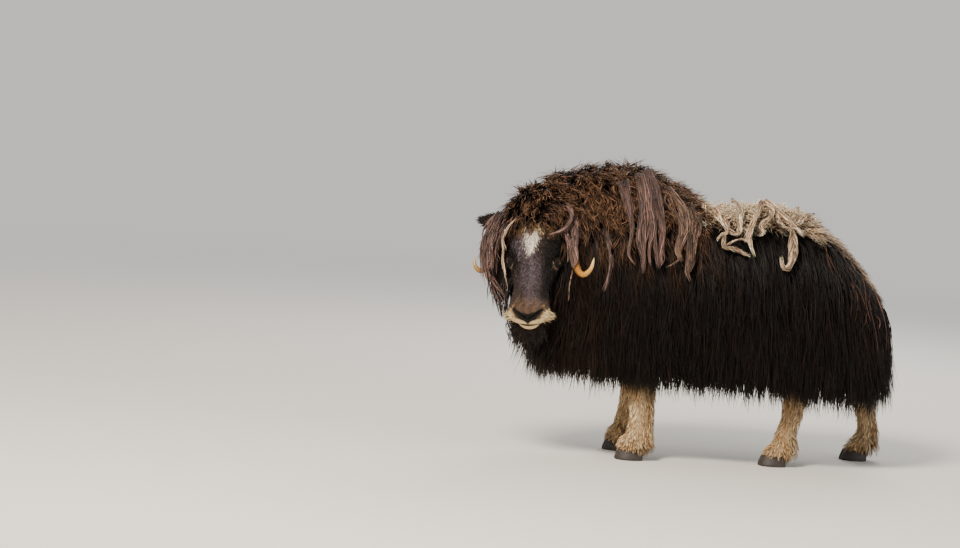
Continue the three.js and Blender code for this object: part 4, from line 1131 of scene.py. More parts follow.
def children(paths, facings, each, spread, gather, curl, stray, rng):
    """Tufts round each guide: their roots spread over its patch of skin, their tips gather towards its own.
    Gives their paths, their facings and the number of each one's guide."""
    parent = np.repeat(np.arange(len(paths)), each)
    gather, curl, stray = (
        np.broadcast_to(values, len(paths))[parent][:, None, None] for values in (gather, curl, stray)
    )
    base, facing = paths[parent], facings[parent]
    normal = unit(facing[:, 0])
    u = unit(np.cross(normal, np.array([0.3, 0.5, 0.8])))
    v = np.cross(normal, u)
    angle = rng.random(len(parent)) * 2 * np.pi
    away = np.sqrt(rng.random(len(parent))) * spread
    offset = (np.cos(angle) * away)[:, None] * u + (np.sin(angle) * away)[:, None] * v
    t = np.linspace(0, 1, paths.shape[1])[None, :, None]
    result = base + offset[:, None] * (1 - gather * t ** 0.8)
    phase = rng.random((len(parent), 1, 2)) * 2 * np.pi
    turns = 2 * np.pi * rng.uniform(0.7, 1.7, (len(parent), 1, 2))
    swing = np.sin(phase + turns * t) * curl * t
    ahead = unit(np.gradient(base, axis=1))
    sideways = unit(np.cross(ahead, facing))
    result = result + sideways * swing[..., :1] + facing * swing[..., 1:] * 0.5
    result = result + rng.normal(0, 1, (len(parent), 1, 3)) * stray * t ** 1.5
    stretch = rng.uniform(0.5, 1.0, (len(parent), 1, 1)) ** 0.7
    result = result[:, :1] + (result - result[:, :1]) * stretch
    return result, facing, parent


# Guard hair is long and coarse. It hangs in strands with a weak gloss along them.
guard_hair = hair_material(
    "coarse guard hair", darkest=0.5, palest=1.5, roughness=0.5, specular=0.2, sheen=0.0, bump_height=0.001,
)


def coat_piece(name, paths, facings, colours, unwrap, width, rings, material, rng, thick=0.4,
               twist=0.6):
    """A piece of the coat: tufts of these widths, a little uneven, and thick times as deep."""
    widths = width * rng.uniform(0.8, 1.25, len(paths))
    depths = width * thick * rng.uniform(0.8, 1.2, len(paths))
    piece = tufts(name, restepped(paths, rings), restepped(facings, rings), colours, unwrap, widths, depths,
                  rng, twist)
    piece.data.materials.append(material)
    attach(piece, "root")
    print(name, len(paths), "tufts", len(piece.data.polygons), "triangles")


# Roots are thinned from many candidates. None is on the face, and none under the belly.
coat_rng = np.random.default_rng(4417)
ROOT_CANDIDATES = 90000
LOWEST_ROOT = 0.36
LOCK_SPREAD = 0.016
candidates, candidate_normals = scatter(body_form, ROOT_CANDIDATES, coat_rng)
side, face, front = head_place(candidates)
in_face = (face > 0.03) & (np.abs(side) < 0.12) & (front > -0.20) & (front < 0.05)
under_belly = (candidate_normals[:, 2] < -0.6) & (candidates[:, 2] < 0.6)
usable = ~in_face & (candidates[:, 2] > LOWEST_ROOT) & ~under_belly
candidates, candidate_normals = candidates[usable], candidate_normals[usable]
kept = thinned(candidates, lie_of(candidates, "spacing"))
roots, root_normals = candidates[kept], candidate_normals[kept]
# The fringe over the face is short, the lowest hair reaches down to the hem, and the matted hair is shortest.
FRINGE_LENGTH = 0.52
MATTED_LENGTH = 0.085
SKIRT_ROOTS_BELOW = 0.62
side, face, front = head_place(roots)
fringe = (front > -0.06) & (np.abs(side) < 0.13) & (face > -0.12)
lengths = lie_of(roots, "length") * coat_rng.uniform(0.8, 1.1, len(roots))
lengths = lengths * np.where(fringe, FRINGE_LENGTH, 1)
hanging = np.maximum(roots[:, 2] - hem_height(roots[:, 0]), 0.05)
to_hem = hanging * coat_rng.uniform(0.8, 1.08, len(roots))
lengths = np.where(roots[:, 2] < SKIRT_ROOTS_BELOW, to_hem, lengths)
lengths = np.minimum(lengths, hanging * 1.06)
shares = body_regions(roots)
matted = shares["saddle"] + shares["rump"] > 0.25
lengths = np.where(matted, np.minimum(lengths, MATTED_LENGTH), lengths)
# Hair near the ridge falls to either side, and the rest to its own.
near_top = coat_rng.random(len(roots)) > 0.5 + np.abs(roots[:, 1]) / 0.18
bias = np.where(near_top, coat_rng.uniform(-0.9, 0.9, len(roots)), np.sign(roots[:, 1]) * 0.7)
rear_end = smooth(0.2, 0.8, root_normals[:, 0]) * smooth(0.5, 0.65, roots[:, 0])
pull = np.stack([lie_of(roots, "sweep") * (1 - 0.6 * rear_end), bias, np.full(len(roots), -1.0)], 1)
lifts = lie_of(roots, "lift") * (1 - 0.6 * rear_end)
guide_paths, guide_facings = grow(
    body_tree, roots, root_normals, lengths, lifts, lie_of(roots, "stand"), pull, lie_of(roots, "wander"),
    coat_rng,
)
each = np.round(lie_of(roots, "each")).astype(int)
child_paths, child_facings, parents = children(
    guide_paths, guide_facings, each, LOCK_SPREAD, lie_of(roots, "gather"), lie_of(roots, "curl"),
    lie_of(roots, "stray"), coat_rng,
)
# Behind the rump the hair hangs close to the thighs, and at the sides it doesn't stand out past the coat.
rear_limit = profile((0.20, 0.925), (0.35, 0.915), (0.45, 0.900), (0.60, 0.875), (0.80, 0.84))
LEFT_LIMIT, RIGHT_LIMIT = -0.40, 0.378
child_x = child_paths[..., 0]
limit = rear_limit(child_paths[..., 2])
child_paths[..., 0] = np.where(child_x > limit, limit + (child_x - limit) * 0.35, child_x)
child_paths[..., 1] = np.clip(child_paths[..., 1], LEFT_LIMIT, RIGHT_LIMIT)


def beside_muzzle(hairs):
    """Which hairs would stick out beside the muzzle, judged by their tips, and lower down by any point."""
    side, face, front = head_place(hairs[:, -1])
    near = (side < -0.118) & (face > 0.30) & (face < 0.62) & (front > -0.27)
    side, face, front = head_place(hairs.reshape(-1, 3))
    outside = side < -0.112 - 0.16 * np.clip(-0.26 - front, 0, 1)
    below = outside & (face > 0.34) & (face < 0.72) & (front > -0.46)
    return near | below.reshape(hairs.shape[:2]).any(1)


kept = ~beside_muzzle(child_paths)
child_paths, child_facings, parents = child_paths[kept], child_facings[kept], parents[kept]
child_roots = roots[parents]
colours = coat_colours(child_roots, coat_rng)
widths = lie_of(child_roots, "width")
unwraps = body_unwrap(child_paths[:, 0])
x, y, z = child_roots.T
left = y < 0
# Each piece: which roots it takes, and how many rings its tufts have.
PIECES = {
    "coat_crest_of_neck": ((x < -0.50) & (z > 1.0), 4),
    "coat_left_throat": ((x < -0.50) & (z <= 1.0) & left, 4),
    "coat_right_throat": ((x < -0.50) & (z <= 1.0) & ~left, 3),
    "coat_front_of_hump": ((x >= -0.50) & (x < -0.30) & (z > 1.0), 4),
    "coat_back_of_hump": ((x >= -0.30) & (x < -0.06) & (z > 1.0), 4),
    "coat_left_shoulder": ((x >= -0.50) & (x < -0.06) & (z <= 1.0) & left, 4),
    "coat_right_shoulder": ((x >= -0.50) & (x < -0.06) & (z <= 1.0) & ~left, 4),
    "coat_saddle": ((x >= -0.06) & (x < 0.60) & (z > 1.0), 3),
    "coat_left_flank": ((x >= -0.06) & (x < 0.40) & (z <= 1.0) & left, 4),
    "coat_right_flank": ((x >= -0.06) & (x < 0.40) & (z <= 1.0) & ~left, 3),
    "coat_left_rump": ((x >= 0.40) & ((z <= 1.0) | (x >= 0.60)) & left, 4),
    "coat_right_rump": ((x >= 0.40) & ((z <= 1.0) | (x >= 0.60)) & ~left, 4),
}
for name, (inside, rings) in PIECES.items():
    coat_piece(name, child_paths[inside], child_facings[inside], colours[inside], unwraps[inside],
               widths[inside], rings, guard_hair, coat_rng)


# Shed underwool: flat matted hanks on the shoulder, twisted ropes on the saddle, and tangles beside the face.
# It has worked loose from under the coat and hangs over it. Each hank is a sheet of a few strings of wool.
WOOL = {
    "shoulder": ("#281B15", "#5A4538", "#876F5C"),
    "mauve": ("#241814", "#55403A", "#7C6158"),
    "rusty": ("#1E110C", "#3C241A", "#6A4C3E"),
    "dark": ("#0A0604", "#170E0A", "#2E1D14"),
    "saddle": ("#5C4536", "#A88D72", "#E0CDAE"),
}


def smooth_route(points, steps):
    """Evenly spread points on a smooth curve through a few points."""
    points = np.asarray(points, float)
    knots = np.arange(len(points))
    curves = [profile(*zip(knots, points[:, axis])) for axis in range(3)]
    fine = np.stack([curve(np.linspace(0, len(points) - 1, 160)) for curve in curves], 1)
    travelled = np.append(0, np.cumsum(np.linalg.norm(np.diff(fine, axis=0), axis=1)))
    at = np.linspace(0, travelled[-1], steps + 1)
    return np.stack([np.interp(at, travelled, fine[:, axis]) for axis in range(3)], 1)


def over_left_side(x, z, lift):
    """The point that is seen from the left at x and z, on a surface that lies lift over the trunk."""
    top = trunk_top(x) + lift
    rise = np.clip((z - trunk_widest(x)) / (top - trunk_widest(x)), 0, 1)
    half = (trunk_half(x) + lift) * np.sqrt(1 - rise ** 2)
    return np.array([x, -half, min(z, top)])


hank_rng = np.random.default_rng(902)
HANK_STEPS = 14
wool_paths, wool_facings, wool_colours, wool_unwraps, wool_widths = [], [], [], [], []


def add_hank(points, kind, widths, count, outward, strings, unwrap=body_unwrap, loose=0.0,
             string_radius=0.0045, turns=0.0, contrast=0.34, width=0.0054):
    """A hank of count tufts along a route, with its widths at even steps. Its strings wander inside it and
    may be twisted; loose is how far its tufts' ends stray, and width is that of one tuft."""
    route = smooth_route(points, HANK_STEPS)
    ahead = unit(np.gradient(route, axis=0))
    outward = np.asarray(outward, float)
    facing = unit(outward - ahead * (ahead @ outward)[:, None])
    across_way = unit(np.cross(ahead, facing))
    t = np.linspace(0, 1, HANK_STEPS + 1)
    half = np.interp(t, np.linspace(0, 1, len(widths)), widths)[None] / 2
    knots = 1 + (0.28 if turns else 0.0) * np.sin(hank_rng.uniform(0, 6) + 17 * t + 3 * np.sin(9 * t))[None]
    string = hank_rng.integers(0, strings, count)
    places = (np.arange(strings) + 0.5) / strings * 2 - 1
    waves = hank_rng.uniform(0, 2 * np.pi, (strings, 2))
    speed = hank_rng.uniform(1.5, 4.0, (strings, 2))
    string_side = places[:, None] * 0.8 + 0.35 * np.sin(waves[:, :1] + speed[:, :1] * 2 * t)
    string_out = np.sin(waves[:, 1:] + speed[:, 1:] * 2 * t) * 0.006
    twist_way = turns * hank_rng.choice([-1, 1], (strings, 1))[string]
    spin = hank_rng.random((count, 1)) * 2 * np.pi + (twist_way + hank_rng.uniform(-7, 7, (count, 1))) * t
    within = np.minimum(string_radius, half * 0.8) * knots * np.sqrt(hank_rng.random((count, 1)))
    sideways = string_side[string] * np.maximum(half - string_radius, 0) + np.cos(spin) * within
    outwards = string_out[string] + np.sin(spin) * within
    bundle = route[None] + across_way[None] * sideways[..., None] + facing[None] * outwards[..., None]
    begin = hank_rng.uniform(-0.12, 0.72, (count, 1)).clip(0)
    finish = np.minimum(begin + hank_rng.uniform(0.16, 0.40, (count, 1)), 1)
    samples = (begin + (finish - begin) * t[None]) * HANK_STEPS
    low = np.minimum(samples.astype(int), HANK_STEPS - 1)
    share = (samples - low)[..., None]
    rows = np.arange(count)[:, None]
    path = bundle[rows, low] * (1 - share) + bundle[rows, low + 1] * share
    if loose:
        path = path + hank_rng.normal(0, loose, (count, 1, 3)) * t[None, :, None]
    wool_paths.append(path)
    wool_facings.append(facing[low])
    brightness = uneven(hank_rng, 0.25, strings, 1, 1)[string] * uneven(hank_rng, contrast, count, 1, 1)
    wool_colours.append(tones(WOOL[kind])[None] * brightness)
    wool_unwraps.append(unwrap(path[:, 0]))
    wool_widths.append(np.full(count, width))


OUT_LEFT = (0, -1, 0.5)


def side_hank(places, lift, kind, widths, count, strings, **form):
    """A hank on the left side, along (x, z) places."""
    add_hank([over_left_side(x, z, lift) for x, z in places], kind, widths, count, OUT_LEFT, strings, **form)


def head_hank(places, kind, widths, count, strings, loose=0.0, string_radius=0.0045):
    """A hank on the head, along (side, face, front) places."""
    points = on_head(*np.array(places).T)
    add_hank(points, kind, widths, count, FRONT, strings, head_unwrap, loose, string_radius)


def wisps(shares, places, drift, wander, kind, widths, count, strings, loose, string_radius, lengths=None):
    """Hanks on the head side by side, each a share of the drift away from the places. lengths says between
    how many of the places they end."""
    for share in shares:
        wisp = np.array(places) + np.array(drift) * share
        wisp = wisp + hank_rng.normal(0, wander, wisp.shape)
        if lengths:
            wisp = wisp[:hank_rng.integers(*lengths)]
        head_hank(wisp, kind, widths, count, strings, loose, string_radius)


# Routes (x, z) on the left side, widths along them, tufts, strings, and how far each lies over the trunk.
SHOULDER_HANKS = [
    ([(-0.428, 1.204), (-0.421, 1.133), (-0.407, 1.066), (-0.403, 1.003), (-0.411, 0.951), (-0.419, 0.898),
      (-0.385, 0.854)], (0.07, 0.085, 0.06, 0.03, 0.018, 0.012, 0.006), 150, 4, 0.074),
    ([(-0.352, 1.235), (-0.349, 1.137), (-0.348, 1.064), (-0.361, 0.994), (-0.367, 0.936), (-0.356, 0.879),
      (-0.357, 0.82)], (0.05, 0.06, 0.05, 0.06, 0.07, 0.04, 0.012), 190, 5, 0.080),
    ([(-0.302, 1.256), (-0.295, 1.194), (-0.29, 1.14), (-0.28, 1.073), (-0.272, 1.011), (-0.277, 0.959),
      (-0.286, 0.918), (-0.273, 0.884), (-0.289, 0.845)],
     (0.045, 0.06, 0.07, 0.065, 0.06, 0.045, 0.035, 0.045, 0.02), 230, 5, 0.078),
    ([(-0.322, 1.182), (-0.32, 1.065), (-0.325, 0.985), (-0.336, 0.915), (-0.325, 0.851)],
     (0.03, 0.03, 0.025, 0.02, 0.012), 70, 2, 0.088),
    ([(-0.303, 1.139), (-0.305, 1.06), (-0.313, 0.986), (-0.303, 0.911), (-0.292, 0.842)],
     (0.03, 0.03, 0.02, 0.018, 0.012), 60, 2, 0.086),
    ([(-0.224, 1.185), (-0.196, 1.126), (-0.179, 1.077), (-0.174, 1.027), (-0.192, 0.969), (-0.204, 0.923),
      (-0.183, 0.883)], (0.04, 0.065, 0.078, 0.06, 0.045, 0.04, 0.02), 220, 5, 0.078),
    ([(-0.195, 0.90), (-0.207, 0.885), (-0.23, 0.869), (-0.26, 0.855)], (0.010, 0.008, 0.005), 22, 1, 0.080),
    ([(-0.136, 1.106), (-0.116, 1.063), (-0.118, 1.018), (-0.125, 0.972)],
     (0.05, 0.07, 0.06, 0.035), 110, 4, 0.076),
    ([(-0.149, 1.089), (-0.143, 1.017), (-0.152, 0.948), (-0.158, 0.879), (-0.166, 0.838), (-0.144, 0.798)],
     (0.03, 0.045, 0.04, 0.035, 0.022, 0.014), 120, 3, 0.074),
    ([(-0.124, 1.018), (-0.128, 0.972), (-0.133, 0.915), (-0.143, 0.862), (-0.157, 0.832)],
     (0.03, 0.03, 0.026, 0.02, 0.01), 70, 2, 0.072),
    ([(-0.239, 1.163), (-0.253, 1.135), (-0.243, 1.108), (-0.227, 1.081)],
     (0.007, 0.006, 0.004), 16, 1, 0.085),
]
MAUVE_HANKS = 5
for number, (route, hank_widths, count, strings, lift) in enumerate(SHOULDER_HANKS):
    kind = "mauve" if number < MAUVE_HANKS else "shoulder"
    side_hank(route, lift, kind, hank_widths, round(count * 1.35), strings, string_radius=0.010)
# Paler ropes, twisted and looped, lie over the saddle.
SADDLE_ROPES = [
    ([(0.001, 1.106), (0.020, 1.045), (0.051, 1.015), (0.073, 1.012), (0.091, 1.049), (0.097, 1.095)],
     (0.030, 0.022, 0.020, 0.020, 0.024, 0.03), 100, 2, 0.078),
    ([(0.021, 1.084), (0.034, 1.046), (0.018, 1.009), (-0.011, 1.0), (-0.032, 0.974)],
     (0.030, 0.022, 0.018, 0.014, 0.008), 70, 2, 0.084),
    ([(0.013, 1.009), (0.008, 0.955), (0.048, 0.953), (0.087, 0.934), (0.127, 0.928)],
     (0.014, 0.020, 0.020, 0.022, 0.018), 80, 2, 0.078),
    ([(0.222, 1.145), (0.182, 1.10), (0.147, 1.052), (0.122, 1.002), (0.125, 0.961), (0.142, 0.919)],
     (0.034, 0.040, 0.038, 0.024, 0.022, 0.022), 150, 3, 0.084),
    ([(0.017, 0.964), (0.055, 0.984), (0.096, 0.988), (0.117, 0.973)], (0.010, 0.008, 0.008), 26, 1, 0.082),
    ([(0.229, 1.139), (0.246, 1.112), (0.223, 1.08), (0.184, 1.058), (0.179, 1.033), (0.193, 1.022),
      (0.159, 1.016)], (0.020, 0.020, 0.022, 0.022, 0.020, 0.018, 0.014), 110, 2, 0.090),
    ([(0.236, 1.153), (0.264, 1.124), (0.289, 1.091), (0.319, 1.061), (0.352, 1.034), (0.376, 1.017)],
     (0.034, 0.038, 0.032, 0.026, 0.022, 0.016), 130, 3, 0.090),
    ([(0.257, 1.105), (0.265, 1.066), (0.288, 1.047), (0.335, 1.045)], (0.014, 0.016, 0.012), 40, 1, 0.096),
    ([(0.319, 1.061), (0.323, 1.021), (0.318, 0.971), (0.31, 0.921), (0.284, 0.877), (0.259, 0.893),
      (0.255, 0.935)], (0.024, 0.024, 0.034, 0.038, 0.034, 0.026, 0.012), 160, 3, 0.084),
    ([(0.455, 1.10), (0.407, 1.093), (0.358, 1.066), (0.331, 1.049)],
     (0.04, 0.032, 0.02, 0.012), 50, 3, 0.080),
    ([(0.385, 1.13), (0.359, 1.101), (0.335, 1.069), (0.325, 1.045)],
     (0.03, 0.024, 0.018, 0.012), 40, 2, 0.082),
    ([(0.10, 1.14), (0.11, 1.115), (0.115, 1.09), (0.10, 1.06)], (0.03, 0.03, 0.02, 0.016), 40, 2, 0.076),
    ([(-0.05, 1.12), (-0.04, 1.10), (-0.01, 1.08), (0.0, 1.05)], (0.03, 0.03, 0.02, 0.016), 40, 2, 0.076),
]
for route, hank_widths, count, strings, lift in SADDLE_ROPES:
    side_hank(route, lift, "saddle", [1.3 * wide for wide in hank_widths], round(count * 1.2), strings,
              loose=0.0012, string_radius=0.0085, turns=9.0, contrast=0.5, width=0.0044)

# Sparse rusty strands lie over the left thigh.
for k in range(10):
    start = 0.47 + 0.030 * k + hank_rng.uniform(-0.014, 0.014)
    top = float(trunk_top(start)) + hank_rng.uniform(-0.14, -0.02)
    drop = hank_rng.uniform(0.14, 0.34)
    sway = hank_rng.normal(0, 0.012, 4)
    route = [(start + drop * slope * part + sway[n], top - drop * part)
             for n, (part, slope) in enumerate(((0, 0), (0.35, 0.42), (0.7, 0.34), (1.0, 0.28)))]
    side_hank(route, 0.046, "rusty", (0.007, 0.004, 0.002), 7, 1, width=0.0046)

# Beside the right cheek a loose curtain hangs from the crown past ear and horn.
inner = np.array([
    (-0.125, -0.01, -0.04), (-0.145, 0.05, -0.03), (-0.167, 0.126, -0.03), (-0.172, 0.215, -0.04),
    (-0.157, 0.29, -0.06), (-0.124, 0.373, -0.08), (-0.110, 0.44, -0.10),
])
outer = np.array([
    (-0.140, -0.05, -0.08), (-0.178, 0.02, -0.07), (-0.205, 0.085, -0.07), (-0.226, 0.173, -0.08),
    (-0.215, 0.235, -0.09), (-0.180, 0.30, -0.10), (-0.150, 0.35, -0.11),
])
for share in np.arange(16) / 15:
    wisp = inner * (1 - share) + outer * share + hank_rng.normal(0, 0.006, inner.shape)
    wisp = wisp[:hank_rng.integers(4, 8)]
    wisp[0, 0] += 0.02
    head_hank(wisp, "mauve", (0.022, 0.026, 0.020, 0.010), 26, 4, 0.014, 0.007)
# Some lie in front of the horn and hide its shaft.
wisps(np.arange(10) / 9, [
    (-0.135, -0.01, -0.02), (-0.165, 0.06, -0.004), (-0.178, 0.14, 0.008), (-0.176, 0.215, 0.012),
    (-0.166, 0.285, 0.004), (-0.150, 0.34, -0.02),
], (-0.040, 0, -0.004), 0.004, "mauve", (0.014, 0.020, 0.022, 0.018, 0.008), 26, 3, 0.006, 0.006, (5, 7))
# Dark hair hangs behind them and fills the side of the neck.
wisps(np.arange(14) / 13, [
    (-0.08, -0.02, -0.10), (-0.115, 0.06, -0.12), (-0.135, 0.16, -0.13), (-0.130, 0.26, -0.15),
    (-0.115, 0.36, -0.17),
], (-0.055, 0, -0.01), 0.006, "dark", (0.03, 0.035, 0.03, 0.014), 34, 4, 0.012, 0.008)
# Dark red brown hair hangs down and back from the jaw in three rows and joins the beard to the throat.
backward = unit(-FRONT * [1, 1, 0])
for start_face, start_front, drop in ((0.40, -0.120, 0.16), (0.34, -0.170, 0.20), (0.28, -0.215, 0.24)):
    for k in range(12):
        start = on_head(-0.098 + 0.15 * k / 11, start_face, start_front)
        strand = [start + [0, 0, -drop * part] + backward * 0.11 * part ** 1.5 for part in (0, 0.3, 0.6, 1.0)]
        strand = np.array(strand) + hank_rng.normal(0, 0.004, (4, 3))
        add_hank(strand, "dark", (0.024, 0.030, 0.030, 0.010), 21, FRONT, 3, head_unwrap, 0.009, 0.011)
# Four more lie along the jaw, and one pale strand hangs in front of the curtain.
wisps(np.arange(4), [
    (-0.098, 0.26, -0.10), (-0.104, 0.32, -0.11), (-0.108, 0.38, -0.12), (-0.106, 0.43, -0.13),
], (-0.012, 0, -0.008), 0.003, "dark", (0.022, 0.026, 0.020, 0.008), 30, 3, 0.004, 0.008)
head_hank([
    (-0.069, 0.030, 0.02), (-0.115, 0.080, 0.012), (-0.134, 0.140, 0.004), (-0.124, 0.170, -0.004),
    (-0.128, 0.210, -0.012), (-0.117, 0.262, -0.02), (-0.100, 0.334, -0.035), (-0.096, 0.368, -0.045),
], "saddle", (0.011, 0.008, 0.006, 0.004, 0.005, 0.003, 0.002), 54, 2, 0.003, 0.003)
# On the left a flat hank covers the horn's shaft, a curl falls from the crown, and thin strands hang from
# both. One tress hangs behind the horn.
head_hank([
    (0.146, -0.01, -0.03), (0.158, 0.041, -0.010), (0.166, 0.096, 0.0), (0.176, 0.165, 0.002),
    (0.184, 0.217, -0.002), (0.180, 0.262, -0.010),
], "mauve", (0.045, 0.060, 0.078, 0.078, 0.054, 0.014), 280, 5, string_radius=0.010)
head_hank([
    (0.127, -0.084, -0.02), (0.140, -0.038, 0.010), (0.157, 0.018, 0.028), (0.148, 0.065, 0.034),
    (0.112, 0.098, 0.030), (0.068, 0.112, 0.022),
], "mauve", (0.030, 0.026, 0.022, 0.020, 0.014, 0.006), 110, 3)
for strand in (
    [(0.179, 0.262, 0.004), (0.174, 0.342, 0.004), (0.173, 0.404, 0.0), (0.162, 0.420, 0.0)],
    [(0.145, 0.100, 0.014), (0.155, 0.202, 0.004), (0.150, 0.250, -0.006)],
):
    head_hank(strand, "shoulder", (0.003, 0.002, 0.002), 9, 1)
head_hank([
    (0.300, 0.03, -0.07), (0.318, 0.128, -0.07), (0.330, 0.19, -0.07), (0.324, 0.268, -0.07),
    (0.308, 0.33, -0.075),
], "mauve", (0.02, 0.022, 0.016, 0.008), 40, 2, loose=0.004)

# Matted wool is dull, with a little sheen where its fine fibres catch the light.
matted_wool = hair_material(
    "matted shed underwool", darkest=0.5, palest=1.45, roughness=0.9, specular=0.15, sheen=0.10,
    bump_height=0.002,
)
coat_piece(
    "shed_wool", np.concatenate(wool_paths), np.concatenate(wool_facings), np.concatenate(wool_colours),
    np.concatenate(wool_unwraps), np.concatenate(wool_widths), 5, matted_wool, hank_rng, thick=0.6,
    twist=1.2,
)


# Face fur: short tufts that lie from brow to nose, longer and fluffier on the lips. They leave the eyes, the
# nostrils and the line of the mouth clear.
face_rng = np.random.default_rng(71)
FACE_TUFTS = 19200
# Clear round the eye's centre, and on either side of the nostril's and the mouth's line.
CLEAR_OF_EYE, CLEAR_OF_NOSTRIL, CLEAR_OF_MOUTH = 0.031, 0.009, 0.008


def face_outward(normals, away):
    """Turns normals in place to the side that away points to."""
    normals[(away * normals).sum(1) < 0] *= -1


def face_roots(count):
    spots, normals = scatter((head_points, head_faces), count, face_rng)
    side, face, front = head_place(spots)
    face_outward(normals, spots - on_head(0, face, -0.08))
    return spots, normals, side, face, front


def lying_hairs(spots, normals, way, length, stand, depth, steps, rise):
    """Hairs rooted at a depth, running along way; rise is how they stand up over their length."""
    t = np.linspace(0, 1, steps + 1)[None, :, None]
    length = length[:, None, None]
    along = way[:, None] * length * t
    return spots[:, None] - normals[:, None] * depth + along + normals[:, None] * length * stand * rise(t)


def along_skin(way, normals, share=1.0):
    """Directions laid down on the skin, by a share."""
    return unit(way - share * normals * (way * normals).sum(1)[:, None])


spots, normals, side, face, front = face_roots(FACE_TUFTS)
clear = (face > 0.015) & (face < 0.488)
for way in (1, -1):
    clear &= np.linalg.norm(spots - eye_centre(way), axis=1) > CLEAR_OF_EYE
    clear &= nostril_distance(np.stack([side * way, face, front], 1)) > CLEAR_OF_NOSTRIL
clear &= (np.abs(front - mouth_height(np.abs(side))) > CLEAR_OF_MOUTH) | (face < 0.38)
clear &= face_rng.random(len(face)) < np.where((face > 0.44) & (np.abs(side) < 0.06), 0.5, 0.75)
spots, normals, side, face, front = (values[clear] for values in (spots, normals, side, face, front))
fur_length = np.interp(face, [0.0, 0.12, 0.30, 0.42, 0.49], [0.028, 0.020, 0.015, 0.010, 0.007])
fur_length = fur_length * face_rng.uniform(0.7, 1.2, len(face))
lip_fluff = smooth(0.42, 0.445, face) * smooth(0.050, 0.075, np.abs(side)) * smooth(-0.02, -0.045, front)
fur_length = fur_length * (1 + 2.6 * lip_fluff)
towards_nose = FACE * (1 - 0.7 * lip_fluff)[:, None]
sideways = np.sign(side)[:, None] * SIDE * (0.35 + 0.9 * lip_fluff)[:, None]
way = unit(towards_nose + sideways + face_rng.normal(0, 0.22, (len(side), 3)))
stand = (0.34 + 0.25 * lip_fluff)[:, None, None]
lie = along_skin(way, normals)
fur_paths = lying_hairs(spots, normals, lie, fur_length, stand, 0.002, 3, lambda t: t ** 0.7)
fur_colour = face_colours(spots, face_rng, 0.5)
grizzled = (face_rng.random(len(face)) < 0.12) & (face > 0.10) & (face < 0.40)
fur_colour = fur_colour * np.where(grizzled, 2.4, 0.95)[:, None]
fur_colour = fur_colour[:, None] * np.array([0.6, 1.0, 1.25])[None, :, None]
coat_piece("face_fur", fur_paths, np.repeat(normals[:, None], 4, 1), fur_colour, head_unwrap(spots),
           np.interp(face, [0, 0.3, 0.49], [0.0032, 0.0028, 0.0016]), 3, guard_hair, face_rng)


# The beard: long black brown guard hair under the jaw and behind the cheeks. It grows from the head and hangs
# straight down.
BEARD_CANDIDATES = 9000
BEARD_SPACING = 0.013
BEARD_COLOURS = ("#080504", "#130C08", "#2E1E15")
spots, normals, side, face, front = face_roots(BEARD_CANDIDATES)
jaw = (front < -0.115) & (face > 0.02) & (face < 0.46)
cheek = (np.abs(side) > 0.055) & (face < 0.24) & (front < -0.095) & (front > -0.2)
chosen = jaw | cheek
spots, normals, face = spots[chosen], normals[chosen], face[chosen]
kept = thinned(spots, np.full(len(spots), BEARD_SPACING))
spots, normals, face = spots[kept], normals[kept], face[kept]
beard_length = np.interp(face, [0, 0.15, 0.30, 0.40, 0.46], [0.20, 0.24, 0.20, 0.12, 0.05])
beard_length = beard_length * face_rng.uniform(0.75, 1.1, len(face))
beard_pull = np.tile([0.05, 0.0, -1.0], (len(face), 1))
guide_paths, guide_facings = grow(
    head_tree, spots, normals, beard_length, 0.010, 0.20, beard_pull, 0.1, face_rng,
)
beard_paths, beard_facings, parents = children(
    guide_paths, guide_facings, each=9, spread=0.009, gather=0.4, curl=0.007, stray=0.008, rng=face_rng,
)
kept = ~beside_muzzle(beard_paths)
beard_paths, beard_facings, parents = beard_paths[kept], beard_facings[kept], parents[kept]
beard_colours = tones(BEARD_COLOURS)[None] * uneven(face_rng, 0.3, len(parents), 1, 1)
coat_piece("beard", beard_paths, beard_facings, beard_colours, head_unwrap(spots)[parents],
           np.full(len(parents), 0.0042), 4, guard_hair, face_rng)


# Ears: short leaves of skin and gristle behind the horns, cupped to the front and furred black brown. They
# stand out of the crown at either side.
EAR_START, EAR_LENGTH = 0.104, 0.158
EAR_TUFTS = 900
EAR_SKIN = "#0B0706"
EAR_COLOURS = ("#0A0605", "#120B08", "#2B1C13")


def ear_axis(side, share):
    """The middle line of an ear, at a share of its length."""
    return on_head(side, 0.008 - 0.036 * share, -0.104 - 0.026 * share)


def ear_form(way):
    half = profile((0, 0.017), (0.25, 0.030), (0.5, 0.034), (0.75, 0.029), (0.92, 0.016), (1, 0.004))
    thick = profile((0, 0.012), (0.5, 0.007), (1, 0.003))
    rings = []
    for t in np.linspace(0, 1, 26):
        centre = ear_axis(way * (EAR_START + EAR_LENGTH * t), t)
        c, s = superellipse(36, 2)
        cupped = 0.30 * half(t) * np.sin(np.pi * min(1, 0.2 + t)) * (c ** 2)
        rings.append(centre + np.outer(c * half(t), unit(FACE - 0.2 * FRONT))
                     + np.outer(s * thick(t) + cupped, FRONT))
    return loft(rings)


